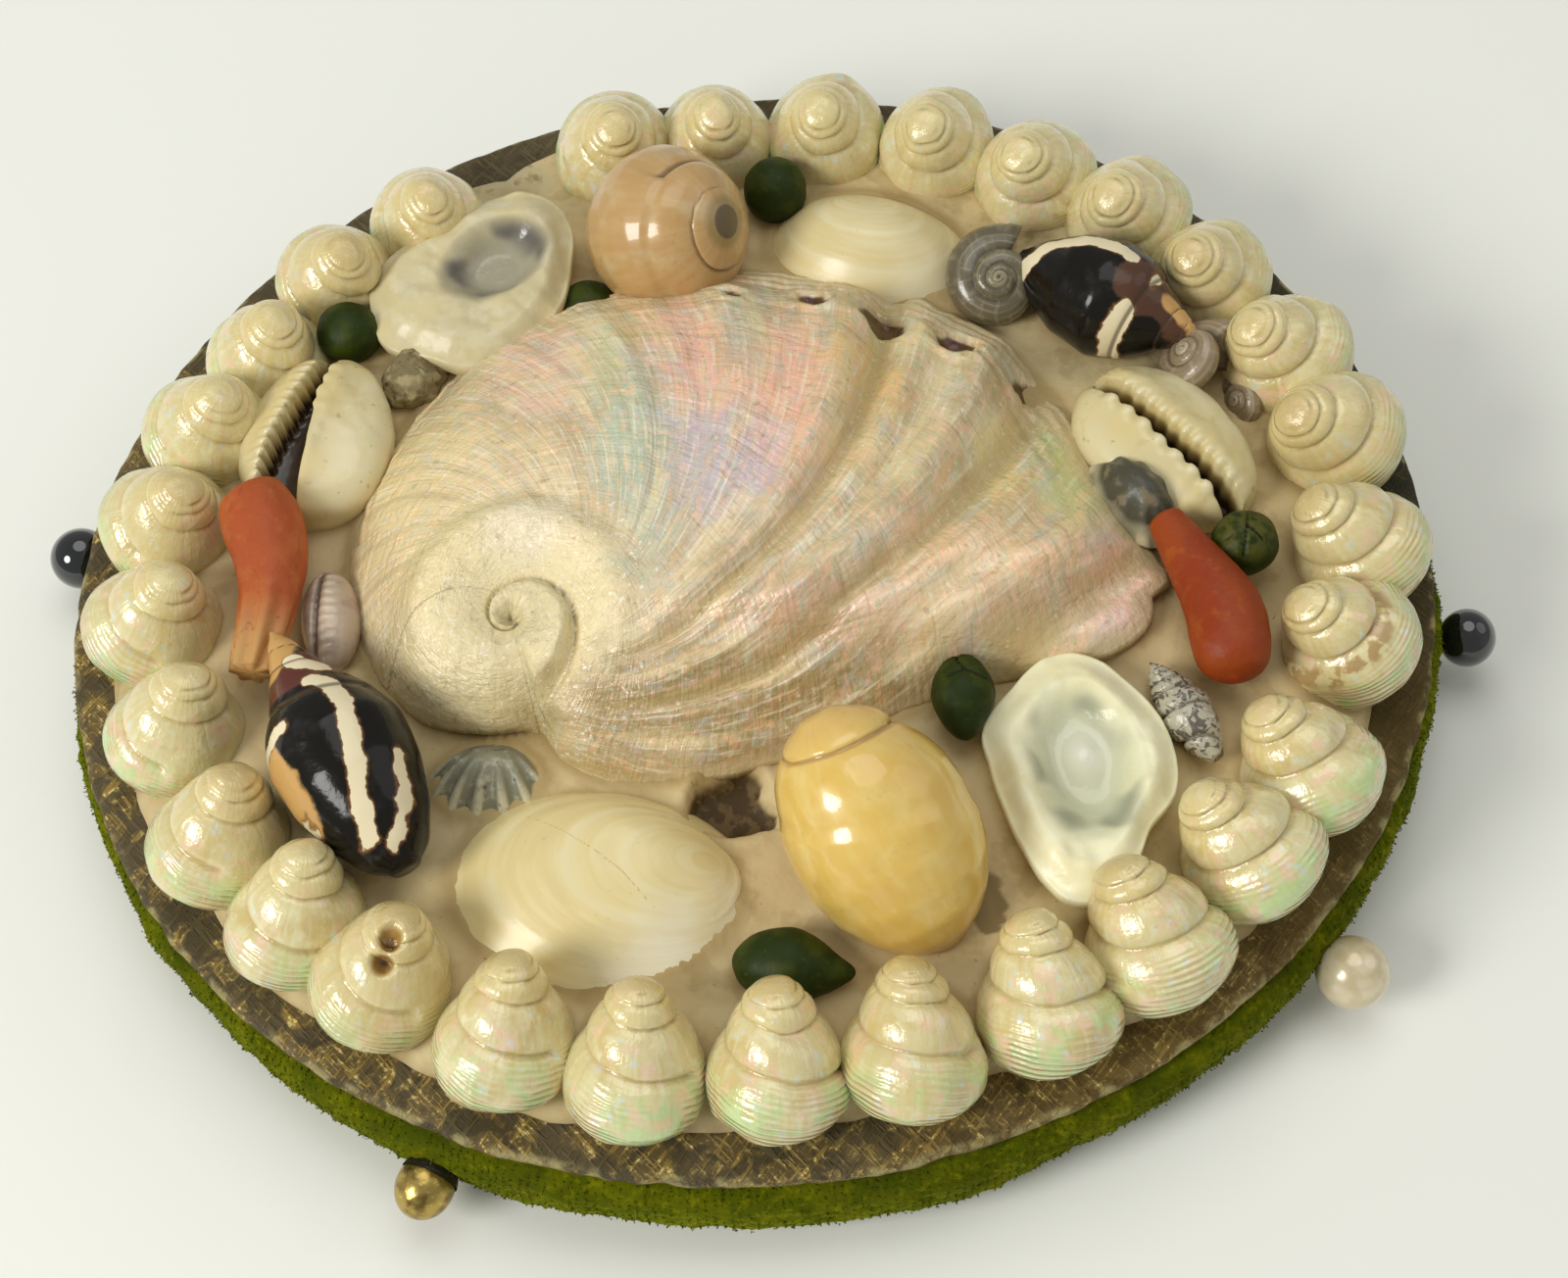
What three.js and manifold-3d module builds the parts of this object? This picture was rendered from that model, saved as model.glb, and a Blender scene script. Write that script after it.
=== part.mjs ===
// Shell pin cushion: an oval velvet pad under a cloth-covered board, with a plaster bed on the board.
// Shells, coral and seeds are set in the plaster, and four pins stick in the side of the pad.
// Millimetres, +Z up. The origin is the middle of the pad's underside and the front is towards -Y.
import * as THREE from 'three';
import { mergeVertices } from 'three/addons/utils/BufferGeometryUtils.js';
import Module from 'manifold-3d';

const wasm = await Module();
wasm.setup();

const FULL_TURN = Math.PI * 2;
const radians = (degrees) => (degrees * Math.PI) / 180;
const mix = (from, to, share) => from + (to - from) * share;

// Board, pad and plaster bed
const BOARD_LENGTH = 120;
const BOARD_WIDTH = 111.4;
const BOARD_THICKNESS = 1.5;
const BOARD_SHIFT = -1.3;
const PAD_HEIGHT = 9.5;
const PAD_OVERHANG_ENDS = 1.2;
const PAD_OVERHANG_SIDES = 1.6;
const PAD_TOP_TUCK = 4;
const PAD_FOOT_TUCK = 4.5;
const BED_INSET = 4.5;
const BED_EDGE = 1.2;
const BED_CROWN = 3.6;
const OVAL_SIDES = 40;
const BED_SIDES = 30;

// Clearance kept round every piece that is set in the bed, lies against another or pierces the pad
const TOUCH_GAP = 0.3;
// Least height of a piece's foot above the board, which leaves plaster under it
const FOOT_FLOOR = 0.75;
// How far below the top of the bed the foot of a piece is set, before its own lift
const SET_DEPTH = 1.6;

// Ring of top shells round the board; one of its places is empty
const RING_PLACES = 30;
const RING_EMPTY_PLACE = 0;
const RING_START = 0.309;
const RING_INSET = 7.8;
const RING_LIFT = 3.4;
const RING_LEAN = 25;
// How far each shell was set round the ring from its even place, counter-clockwise as seen from above
const RING_NUDGES = [
  0, 1, 1.2, 1.2, 1, 1.2, 1.5, 1.3, 1.8, 1.6, 2.2, 1.8, 0.5, 0.6, 0.9, 2.1, 1.9, 1.2, 0.3, 0, 0, 0, 0,
  -0.8, -1.1, -0.5, -1, -0.5, 0, 0.2,
];
const RING_SHELL = { width: 10.2, depth: 11.4, spire: 8.5, base: 4.4 };

// Layout on the board, in millimetres from its middle, for a board of this size
const LAYOUT_LENGTH = 120;
const LAYOUT_WIDTH = 111.4;

const ABALONE = {
  spire: [-20, -9.5],
  outline: [
    [-18.5, -16.7], [-23.5, -16.6], [-28.7, -14.4], [-32.6, -9], [-34.7, -1.3], [-34.4, 5], [-32.4, 12],
    [-27.3, 20], [-18, 27.8], [-7.7, 30.7], [3, 30.3], [11.3, 27.9], [19.5, 24], [26, 17.6], [29.6, 10],
    [31.2, 3.5], [35.3, -7.6], [34.4, -11.5], [29, -15.4], [18.6, -16.2], [8, -19.2], [-6.8, -22.3],
    [-13.5, -21.9], [-17, -19.5],
  ],
  seatHeight: 3.9,
  tipRise: 1.2,
  spireHeight: 6.2,
  domeHeight: 5.4,
  knobHeight: 1.2,
  rim: 0.9,
};

const COWRIES = {
  cowrie_left: { at: [-37.4, 14.9], turn: 80, length: 18, width: 13, height: 8, slit: 1.7, lift: -0.4 },
  cowrie_right: { at: [37.6, 5.4], turn: -55, length: 18.4, width: 12.2, height: 8, slit: 1.7, lift: -0.4 },
};

const CORALS = {
  coral_left: {
    path: [[-43.4, 8], [-41.9, 4.8], [-40.8, 0.4], [-41.2, -4.8], [-42.4, -10.4]],
    radii: [3.3, 4, 3.5, 2.9, 1.9],
    lift: 1.6,
  },
  coral_right: {
    path: [[36.4, -3.4], [37.8, -8], [38.7, -13.2], [38.6, -18.2]],
    radii: [1.8, 3, 3.7, 3.3],
    lift: 1.6,
  },
};

const SEEDS = {
  seed_left: { at: [-34.6, 26.7], turn: 0, length: 6, width: 5.6, height: 5.6, point: 0, lift: 1.2 },
  seed_back: { at: [6, 38.6], turn: 80, length: 6.4, width: 6, height: 6, point: 0, lift: 1.2 },
  seed_right: { at: [42, -6.4], turn: 20, length: 5.8, width: 5.4, height: 5.4, point: 0, lift: 3 },
  seed_middle: { at: [16.6, -17.8], turn: -95, length: 7.8, width: 5.2, height: 5.2, point: 0.5, lift: 2.4 },
  seed_front: { at: [0.6, -40.2], turn: -12, length: 9.8, width: 6.2, height: 6, point: 1, lift: 0.2 },
};

const SMALL_COWRIE = { at: [-36.3, -4], turn: 92, length: 9.6, width: 4.7, height: 4.4, lift: 1.2 };

const PERIWINKLES = {
  periwinkle_yellow: { at: [8.5, -30.4], towards: 112, lean: 60, radius: 8, height: 20.4, lift: -1 },
  periwinkle_tan: { at: [-4, 33], towards: -12, lean: 62, radius: 7.6, height: 15.8, lift: -1.2 },
};

// Hollow pieces, open side up; an outline runs round as [degrees, radius].
const DISHES = {
  limpet_front: {
    at: [25.2, -26.4], height: 6.2, wall: 1.3, floor: 2.2, lift: 0.1,
    outline: [
      [14, 8.4], [50, 10], [88, 11.1], [122, 9.8], [147, 8.5], [182, 7.2], [214, 8], [240, 9.6], [262, 10.9],
      [290, 9], [320, 6.8], [345, 7.2],
    ],
  },
  limpet_back: {
    at: [-22.4, 30], height: 6.4, wall: 1.4, floor: 3, lift: 0.1,
    outline: [
      [10, 8.6], [35, 10.4], [60, 11.4], [90, 10], [135, 9.2], [170, 9.6], [205, 10], [235, 9.2], [262, 9.6],
      [300, 8.2], [335, 7.8],
    ],
  },
};

// Domed pieces; the peak of each is given as shares of its half length and half width.
const DOMES = {
  clam_front: {
    at: [-15.1, -31.2], turn: -13, length: 25.4, width: 18, height: 5.6, peak: [0.15, 0.34], lift: -0.6,
    material: 'clam',
  },
  clam_back: {
    at: [14.2, 31.8], turn: -23, length: 20.4, width: 14.2, height: 5.4, peak: [0, 0], lift: -0.2, material: 'clam',
  },
  dark_limpet: {
    at: [33.9, 0.4], turn: -62, length: 8.8, width: 4.8, height: 4.6, peak: [0.1, 0], lift: 2.2, material: 'grey',
  },
  grey_ribbed_shell: {
    at: [-23, -20.6], turn: -4, length: 10.2, width: 7.4, height: 3.6, peak: [-0.1, 0.2], lift: 0,
    material: 'grey',
  },
};

// Tall shells lying down; a profile runs from the spire's tip as [share of the length, share of the radius].
const SPINDLES = {
  striped_shell_front: {
    at: [-35, -18.8], towards: 116, dip: 4, length: 25, radius: 6.5, lift: 0.2,
    profile: [
      [0.06, 0.16], [0.13, 0.22], [0.22, 0.42], [0.27, 0.46], [0.38, 0.8], [0.5, 1], [0.66, 0.94], [0.82, 0.72],
      [0.94, 0.46],
    ],
  },
  striped_shell_back: {
    at: [34.6, 20.6], towards: -38, dip: 2, length: 18.4, radius: 5.4, lift: 0.4,
    profile: [[0.07, 0.2], [0.15, 0.34], [0.2, 0.4], [0.34, 0.84], [0.5, 1], [0.7, 0.88], [0.9, 0.46]],
  },
  speckled_shell: {
    at: [34.8, -20.9], towards: 104, dip: 0, length: 9.6, radius: 2.7, lift: 0.4,
    profile: [[0.1, 0.34], [0.3, 0.76], [0.55, 1], [0.8, 0.74]],
  },
};

const SMALL_SNAILS = {
  grey_top_shell: { at: [24.9, 25.8], towards: -96, lean: 42, radius: 4.7, spire: 3.4, base: 3, lift: 0.2 },
  brown_snail: { at: [42.8, 14.2], towards: 170, lean: 40, radius: 3.2, spire: 3.2, base: 2.2, lift: 2.6 },
};

// Lumps that are bedded too deep to be pieces of their own: a pebble, a small snail and a seed
const BEDDED = {
  pebble: { at: [-28.6, 21.6], turn: 60, length: 6.6, width: 5.6, height: 5 },
  sunken_snail: { at: [45.4, 11], turn: 20, length: 5, width: 4.4, height: 4 },
  hidden_seed: { at: [-12.4, 28], turn: 0, length: 5.6, width: 5.4, height: 5.4 },
};
const BEDDED_LIFT = 0.4;

const PINS = {
  pin_black_left: { bearing: 169, head: [5.7, 5.7], pressed: 0, shaftReach: 16 },
  pin_black_right: { bearing: -9.5, head: [5.2, 5], pressed: 1.5, shaftReach: 16 },
  pin_pearl: { bearing: -42, head: [6.1, 6.1], pressed: 2, shaftReach: 16 },
  pin_brass: { bearing: 238, head: [4.8, 5.8], pressed: 1.4, shaftReach: 16 },
};
const PIN_HEAD_SIDES = 8;
const PIN_HEAD_RINGS = 6;
const PIN_SHAFT_SIDES = 5;
const PIN_SHAFT = 0.9;
const PIN_LEVEL = 4.9;

const boardTop = PAD_HEIGHT + BOARD_THICKNESS;
const padHalfLength = BOARD_LENGTH / 2 + PAD_OVERHANG_ENDS;
const padHalfWidth = BOARD_WIDTH / 2 + PAD_OVERHANG_SIDES;
const bedHalfLength = BOARD_LENGTH / 2 - BED_INSET;
const bedHalfWidth = BOARD_WIDTH / 2 - BED_INSET;
const layout = ([x, y]) => [(x * BOARD_LENGTH) / LAYOUT_LENGTH, (y * BOARD_WIDTH) / LAYOUT_WIDTH];

// Finishes
const finish = (color, roughness, metalness = 0) =>
  new THREE.MeshStandardMaterial({ color, roughness, metalness });
const VELVET = finish('#5f7a12', 0.95);
const BROCADE = finish('#6b5a4c', 0.7, 0.2);
const PLASTER = finish('#e2d6b8', 0.9);
const PEARL = finish('#ece6d0', 0.3);
const NACRE = finish('#d9c8b4', 0.3);
const COWRIE = finish('#ede7cf', 0.3);
const CORAL = finish('#cf5f3c', 0.7);
const SEED = finish('#2c4a22', 0.5);
const YELLOW = finish('#e8bf62', 0.3);
const TAN = finish('#d3a672', 0.45);
const LIMPET = finish('#e6e2c4', 0.35);
const CLAM = finish('#eee3ba', 0.45);
const STRIPED = finish('#1d1a1c', 0.2);
const GREY = finish('#6c6250', 0.5);
const BLACK = finish('#05070a', 0.1);
const PIN_PEARL = finish('#efe5d2', 0.25);
const BRASS = finish('#a98a3c', 0.35, 0.9);

// A closed skin of rings, from one pole to the other, each ring going round counter-clockwise as
// seen from beyond the first pole. point(ring, turn) gives a corner's place.
function skin(rings, sides, point) {
  const positions = [...point(0, 0)];
  for (let ring = 1; ring < rings; ring += 1) {
    for (let side = 0; side < sides; side += 1) {
      positions.push(...point(ring, (side / sides) * FULL_TURN));
    }
  }
  positions.push(...point(rings, 0));
  const corner = (ring, side) => 1 + (ring - 1) * sides + (side % sides);
  const last = positions.length / 3 - 1;
  const faces = [];
  for (let side = 0; side < sides; side += 1) {
    faces.push(0, corner(1, side), corner(1, side + 1));
    for (let ring = 1; ring < rings - 1; ring += 1) {
      const [a, b] = [corner(ring, side), corner(ring, side + 1)];
      const [c, d] = [corner(ring + 1, side), corner(ring + 1, side + 1)];
      faces.push(a, c, d, a, d, b);
    }
    faces.push(last, corner(rings - 1, side + 1), corner(rings - 1, side));
  }
  const geometry = new THREE.BufferGeometry();
  geometry.setAttribute('position', new THREE.Float32BufferAttribute(positions, 3));
  geometry.setIndex(faces);
  geometry.computeVertexNormals();
  return geometry;
}

// A closed skin turned about Z from [radius, height] pairs between two heights on the axis.
function turned(top, profile, bottom, sides, stretch = [1, 1]) {
  return skin(profile.length + 1, sides, (ring, turn) => {
    if (ring === 0) return [0, 0, top];
    if (ring > profile.length) return [0, 0, bottom];
    const [radius, height] = profile[ring - 1];
    return [radius * Math.cos(turn) * stretch[0], radius * Math.sin(turn) * stretch[1], height];
  });
}

// Radius of a closed outline through [degrees, radius] knots, smooth from each to the next.
function outlineRadius(knots, turn) {
  const count = knots.length;
  const degrees = ((turn / FULL_TURN) * 360 - knots[0][0] + 720) % 360 + knots[0][0];
  const knot = (index) => {
    const laps = Math.floor(index / count);
    const [angle, radius] = knots[index - laps * count];
    return [angle + laps * 360, radius];
  };
  let index = 0;
  while (knot(index + 1)[0] <= degrees) index += 1;
  const [before, from, to, after] = [-1, 0, 1, 2].map((step) => knot(index + step));
  const span = to[0] - from[0];
  const share = (degrees - from[0]) / span;
  const slopeFrom = ((to[1] - before[1]) / (to[0] - before[0])) * span;
  const slopeTo = ((after[1] - from[1]) / (after[0] - from[0])) * span;
  const square = share * share;
  const cube = square * share;
  return (2 * cube - 3 * square + 1) * from[1] + (cube - 2 * square + share) * slopeFrom
    + (3 * square - 2 * cube) * to[1] + (cube - square) * slopeTo;
}

// Joining and cutting
function toSolid(geometry) {
  const bare = geometry.clone();
  bare.deleteAttribute('normal');
  bare.deleteAttribute('uv');
  const welded = mergeVertices(bare);
  return new wasm.Manifold(new wasm.Mesh({
    numProp: 3,
    vertProperties: new Float32Array(welded.attributes.position.array),
    triVerts: new Uint32Array(welded.index.array),
  }));
}

function toGeometry(solid) {
  const cut = solid.getMesh();
  const geometry = new THREE.BufferGeometry();
  geometry.setAttribute('position', new THREE.BufferAttribute(new Float32Array(cut.vertProperties), 3));
  geometry.setIndex(new THREE.BufferAttribute(new Uint32Array(cut.triVerts), 1));
  geometry.computeVertexNormals();
  return geometry;
}

function placedGeometry(mesh) {
  mesh.updateWorldMatrix(true, false);
  return mesh.geometry.clone().applyMatrix4(mesh.matrixWorld);
}

// The room that a placed piece needs: its skin moved out by the clearance. A sharp corner moves
// further than a flat one, so that the faces round it keep their clearance too.
const SHARPEST_CORNER = 0.4;
function room(mesh) {
  const bare = placedGeometry(mesh);
  bare.deleteAttribute('normal');
  bare.deleteAttribute('uv');
  const grown = mergeVertices(bare);
  grown.computeVertexNormals();
  const { position, normal } = grown.attributes;
  const flatness = new Array(position.count).fill(1);
  const corners = [new THREE.Vector3(), new THREE.Vector3(), new THREE.Vector3()];
  const across = new THREE.Vector3();
  for (let face = 0; face < grown.index.count; face += 3) {
    const indices = [0, 1, 2].map((step) => grown.index.getX(face + step));
    indices.forEach((index, step) => corners[step].fromBufferAttribute(position, index));
    const facing = new THREE.Triangle(...corners).getNormal(new THREE.Vector3());
    for (const index of indices) {
      across.fromBufferAttribute(normal, index);
      flatness[index] = Math.min(flatness[index], across.dot(facing));
    }
  }
  for (let corner = 0; corner < position.count; corner += 1) {
    const move = TOUCH_GAP / Math.max(flatness[corner], SHARPEST_CORNER);
    position.setXYZ(
      corner,
      position.getX(corner) + normal.getX(corner) * move,
      position.getY(corner) + normal.getY(corner) * move,
      position.getZ(corner) + normal.getZ(corner) * move,
    );
  }
  return { solid: toSolid(grown), box: new THREE.Box3().setFromBufferAttribute(position) };
}

// Cuts the rooms of other pieces out of a placed piece, which keeps its place.
function makeRoom(mesh, rooms) {
  const box = new THREE.Box3().setFromBufferAttribute(placedGeometry(mesh).attributes.position);
  const near = rooms.filter((other) => other.box.intersectsBox(box));
  if (near.length === 0) return;
  let solid = toSolid(placedGeometry(mesh));
  for (const other of near) solid = solid.subtract(other.solid);
  mesh.geometry = toGeometry(solid).applyMatrix4(mesh.matrixWorld.clone().invert());
}

// Board and pad
function padGeometry() {
  const profile = [
    [PAD_TOP_TUCK, 1], [PAD_TOP_TUCK * 0.3, 0.92], [0, 0.6], [0.4, 0.28], [PAD_FOOT_TUCK * 0.4, 0.07],
    [PAD_FOOT_TUCK, 0],
  ];
  return skin(profile.length + 1, OVAL_SIDES, (ring, turn) => {
    if (ring === 0) return [0, 0, PAD_HEIGHT];
    if (ring > profile.length) return [0, 0, 0];
    const [tuck, level] = profile[ring - 1];
    return [(padHalfLength - tuck) * Math.cos(turn), (padHalfWidth - tuck) * Math.sin(turn), level * PAD_HEIGHT];
  });
}

function boardGeometry() {
  const outline = new THREE.Shape();
  outline.absellipse(0, 0, BOARD_LENGTH / 2, BOARD_WIDTH / 2, 0, FULL_TURN);
  return new THREE.ExtrudeGeometry(outline, {
    depth: BOARD_THICKNESS, bevelEnabled: false, curveSegments: OVAL_SIDES / 2,
  });
}

// Height of the plaster above the board; reach is 0 in the middle and 1 at the bed's edge.
const BED_PROFILE = [[0.55, 1], [0.84, 0.8], [1, 0]];
function bedHeight(x, y) {
  const reach = Math.hypot(x / bedHalfLength, y / bedHalfWidth);
  const outer = BED_PROFILE.findIndex(([share]) => share >= reach);
  if (outer < 0) return 0;
  if (outer === 0) return BED_CROWN;
  const [from, to] = [BED_PROFILE[outer - 1], BED_PROFILE[outer]];
  const level = mix(from[1], to[1], (reach - from[0]) / (to[0] - from[0]));
  return mix(BED_EDGE, BED_CROWN, level);
}

function bedGeometry() {
  const rings = BED_PROFILE;
  return skin(rings.length + 2, BED_SIDES, (ring, turn) => {
    if (ring === 0) return [0, 0, BED_CROWN];
    if (ring === rings.length + 2) return [0, 0, 0];
    const atFoot = ring > rings.length;
    const [reach, level] = atFoot ? [1, 0] : rings[ring - 1];
    const height = atFoot ? 0 : mix(BED_EDGE, BED_CROWN, level);
    return [bedHalfLength * reach * Math.cos(turn), bedHalfWidth * reach * Math.sin(turn), height];
  });
}

// Shells
const TOP_SHELL_SIDES = 8;
const PERIWINKLE_SIDES = 12;
const SPINDLE_SIDES = 10;
const DOME_SIDES = 14;
const ABALONE_SIDES = 30;
const CORAL_SIDES = 8;
const CORAL_STEPS = 7;
const EGG_SIDES = 8;
// Thickness of a dome's foot as a share of its height
const DOME_FOOT = 0.16;

function topShellGeometry({ width, depth, spire, base }) {
  const whorls = [[0.3, 0.76], [0.57, 0.46], [0.6, 0.38], [1, 0]];
  const profile = whorls.map(([share, level]) => [share, spire * level]);
  profile.push([0.72, -base * 0.72]);
  return turned(spire, profile, -base, TOP_SHELL_SIDES, [depth / 2, width / 2]);
}

function periwinkleGeometry({ radius, height }) {
  const above = height * 0.5;
  const profile = [
    [0.2, 0.93], [0.33, 0.8], [0.4, 0.82], [0.74, 0.6], [0.97, 0.2], [0.98, -0.25], [0.78, -0.66], [0.4, -0.93],
  ];
  const shape = profile.map(([share, level]) => [share * radius, level * above]);
  return turned(above, shape, -above, PERIWINKLE_SIDES);
}

function cowrieGeometry({ length, width, height, slit }) {
  const sections = [0.97, 0.82, 0.5, 0.05, -0.45, -0.8, -0.97];
  const around = [0, 14, 42, 80, 118, 150, 180, 210, 242, 280, 318, 346];
  return skin(sections.length + 1, around.length, (ring, turn) => {
    if (ring === 0) return [length / 2, 0, height * 0.5];
    if (ring > sections.length) return [-length / 2, 0, height * 0.5];
    const along = sections[ring - 1];
    const girth = Math.sqrt(1 - along * along) * (1 - 0.1 * along);
    const angle = radians(around[Math.round((turn / FULL_TURN) * around.length)] + 90);
    const top = Math.sin(angle) > 0;
    const z = height * (0.5 + Math.sin(angle) * girth * (top ? 0.46 : 0.5));
    const inSlit = turn === 0 ? slit * Math.min(1, (1 - Math.abs(along)) * 4) : 0;
    return [(along * length) / 2, (Math.cos(angle) * girth * width) / 2, z - inSlit];
  });
}

function dishGeometry({ outline, height, wall, floor }) {
  const sides = outline.length + 3;
  const rings = [[0.42, floor / height + 0.03], [0.8, 0.72], [1, 1], [0.86, 0.55], [0.4, 0.06]];
  return skin(rings.length + 1, sides, (ring, turn) => {
    if (ring === 0) return [0, 0, floor];
    if (ring > rings.length) return [0, 0, 0];
    const [share, level] = rings[ring - 1];
    const inner = ring < 3 ? wall : 0;
    const radius = outlineRadius(outline, turn) * share - inner * share;
    return [radius * Math.cos(turn), radius * Math.sin(turn), height * level];
  });
}

function domeGeometry({ length, width, height, peak }) {
  const rings = [[0.42, 0.88], [0.78, 0.54], [1, 0], [0.96, -DOME_FOOT]];
  return skin(rings.length + 1, DOME_SIDES, (ring, turn) => {
    if (ring === 0) return [(peak[0] * length) / 2, (peak[1] * width) / 2, height];
    if (ring > rings.length) return [0, 0, -height * DOME_FOOT];
    const [share, level] = rings[ring - 1];
    return [
      ((Math.cos(turn) * share + peak[0] * (1 - share)) * length) / 2,
      ((Math.sin(turn) * share + peak[1] * (1 - share)) * width) / 2,
      level * height,
    ];
  });
}

function spindleGeometry({ length, radius, profile }) {
  const shape = profile.map(([along, share]) => [share * radius, length * (0.5 - along)]);
  return turned(length / 2, shape, -length / 2, SPINDLE_SIDES);
}

function abaloneGeometry() {
  const { spire, outline, tipRise, spireHeight, domeHeight, knobHeight, rim } = ABALONE;
  const spread = new THREE.CatmullRomCurve3(
    outline.map(([x, y]) => new THREE.Vector3(x - spire[0], y - spire[1], 0)), true,
  );
  const longest = Math.max(...outline.map(([x, y]) => Math.hypot(x - spire[0], y - spire[1])));
  // Rings round the spire as [radius, share of the reach at most], then rings out to the edge as shares
  const coreRings = [[2, 0.3], [4.4, 0.55], [7, 0.8]];
  const bodyRings = [0.26, 0.56, 0.84, 1];
  const ringCount = coreRings.length + bodyRings.length + 2;
  // The outline is given clockwise, so it is followed backwards.
  const edge = (turn) => spread.getPoint(1 - turn / FULL_TURN);
  const rise = (x) => tipRise * Math.max(0, x / longest);
  return skin(ringCount, ABALONE_SIDES, (ring, turn) => {
    if (ring === 0) return [0, 0, spireHeight + knobHeight];
    if (ring === ringCount) return [0, 0, -rim];
    const rimPoint = edge(turn);
    const reach = Math.hypot(rimPoint.x, rimPoint.y);
    const core = Math.min(coreRings[2][0], coreRings[2][1] * reach);
    let radius = reach;
    if (ring <= coreRings.length) {
      radius = Math.min(coreRings[ring - 1][0], coreRings[ring - 1][1] * reach);
    } else if (ring <= coreRings.length + bodyRings.length) {
      radius = mix(core, reach, bodyRings[ring - coreRings.length - 1]);
    }
    const share = radius / reach;
    const below = ring === ringCount - 1;
    const knob = knobHeight * Math.max(0, 1 - radius / coreRings[2][0]);
    const dome = spireHeight * (1 - share ** 3)
      + domeHeight * (reach / longest) * Math.sin(Math.PI * share ** 0.8) + knob;
    const x = rimPoint.x * share;
    return [x, rimPoint.y * share, rise(x) + (below ? -rim : dome)];
  });
}

// Coral, seeds and bedded lumps
function coralGeometry({ path, radii }) {
  const middle = layout(path[Math.floor(path.length / 2)]);
  const places = path.map(layout).map(([x, y]) => new THREE.Vector3(x - middle[0], y - middle[1], 0));
  const curve = new THREE.CatmullRomCurve3(places);
  const steps = CORAL_STEPS;
  const up = new THREE.Vector3(0, 0, 1);
  const radiusAt = (share) => {
    const step = share * (radii.length - 1);
    const index = Math.min(radii.length - 2, Math.floor(step));
    return mix(radii[index], radii[index + 1], step - index);
  };
  const geometry = skin(steps + 2, CORAL_SIDES, (ring, turn) => {
    const share = THREE.MathUtils.clamp((ring - 1) / steps, 0, 1);
    const centre = curve.getPoint(share);
    const along = curve.getTangent(share);
    const tip = ring === 0 || ring === steps + 2;
    const radius = radiusAt(share);
    if (tip) return centre.addScaledVector(along, radius * 0.5 * (ring === 0 ? -1 : 1)).toArray();
    const across = new THREE.Vector3().crossVectors(up, along.clone().negate());
    const endEase = ring === 1 || ring === steps + 1 ? 0.72 : 1;
    centre.addScaledVector(across, Math.cos(turn) * radius * endEase);
    centre.addScaledVector(up, Math.sin(turn) * radius * endEase);
    return centre.toArray();
  });
  return { geometry, middle: path[Math.floor(path.length / 2)] };
}

function eggGeometry({ length, width, height, point = 0 }) {
  const sections = [0.88, 0.4, -0.3, -0.84];
  return skin(sections.length + 1, EGG_SIDES, (ring, turn) => {
    if (ring === 0) return [length / 2, 0, 0];
    if (ring > sections.length) return [-length / 2, 0, 0];
    const along = sections[ring - 1];
    const round = Math.sqrt(1 - along * along);
    const pointed = Math.max(0.3, (1 - along) * 0.62);
    const girth = along > 0 ? mix(round, Math.min(round, pointed), point) : round;
    return [(along * length) / 2, (Math.cos(turn) * girth * width) / 2, (Math.sin(turn) * girth * height) / 2];
  });
}

// Placing on the board
function lean(towards, by) {
  const bearing = radians(towards);
  return new THREE.Quaternion().setFromAxisAngle(
    new THREE.Vector3(-Math.sin(bearing), Math.cos(bearing), 0), radians(by),
  );
}

const model = new THREE.Group();
const crown = new THREE.Group();
crown.position.set(BOARD_SHIFT, 0, boardTop);
model.add(crown);

function add(parent, name, geometry, material) {
  const mesh = new THREE.Mesh(geometry, material);
  mesh.name = name;
  parent.add(mesh);
  return mesh;
}

// Sets a piece in the bed, with its lowest point SET_DEPTH below the bed's height there and then raised
// by its lift.
function setOnBed(mesh, at, lift) {
  const [x, y] = layout(at);
  mesh.position.set(x, y, 0);
  mesh.updateMatrix();
  const low = new THREE.Box3().setFromBufferAttribute(
    mesh.geometry.clone().applyMatrix4(mesh.matrix).attributes.position,
  ).min.z;
  const floor = Math.max(FOOT_FLOOR, bedHeight(x, y) - SET_DEPTH + lift);
  mesh.position.z = floor - low;
  mesh.updateMatrix();
}

// Corners of a placed piece that would be lower than a height above the board are brought up to it.
function flattenFoot(mesh, height) {
  mesh.updateMatrix();
  const inverse = mesh.matrix.clone().invert();
  const { position } = mesh.geometry.attributes;
  const corner = new THREE.Vector3();
  for (let index = 0; index < position.count; index += 1) {
    corner.fromBufferAttribute(position, index).applyMatrix4(mesh.matrix);
    corner.z = Math.max(corner.z, height);
    corner.applyMatrix4(inverse);
    position.setXYZ(index, corner.x, corner.y, corner.z);
  }
}

const pad = add(model, 'velvet_cushion', padGeometry(), VELVET);
const board = add(crown, 'top_board', boardGeometry(), BROCADE);
board.position.z = -BOARD_THICKNESS;
const bed = add(crown, 'plaster_bed', bedGeometry(), PLASTER);

// Ring of top shells
function ringPlace(share, nudge) {
  const halfLength = BOARD_LENGTH / 2 - RING_INSET;
  const halfWidth = BOARD_WIDTH / 2 - RING_INSET;
  const steps = 1440;
  const point = (step) => {
    const turn = (step / steps) * FULL_TURN;
    return [halfLength * Math.cos(turn), halfWidth * Math.sin(turn)];
  };
  const lengths = [0];
  for (let step = 1; step <= steps; step += 1) {
    const [from, to] = [point(step - 1), point(step)];
    lengths.push(lengths[step - 1] + Math.hypot(to[0] - from[0], to[1] - from[1]));
  }
  const goal = (share * lengths[steps] + nudge + lengths[steps]) % lengths[steps];
  return point(lengths.findIndex((length) => length >= goal));
}

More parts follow.
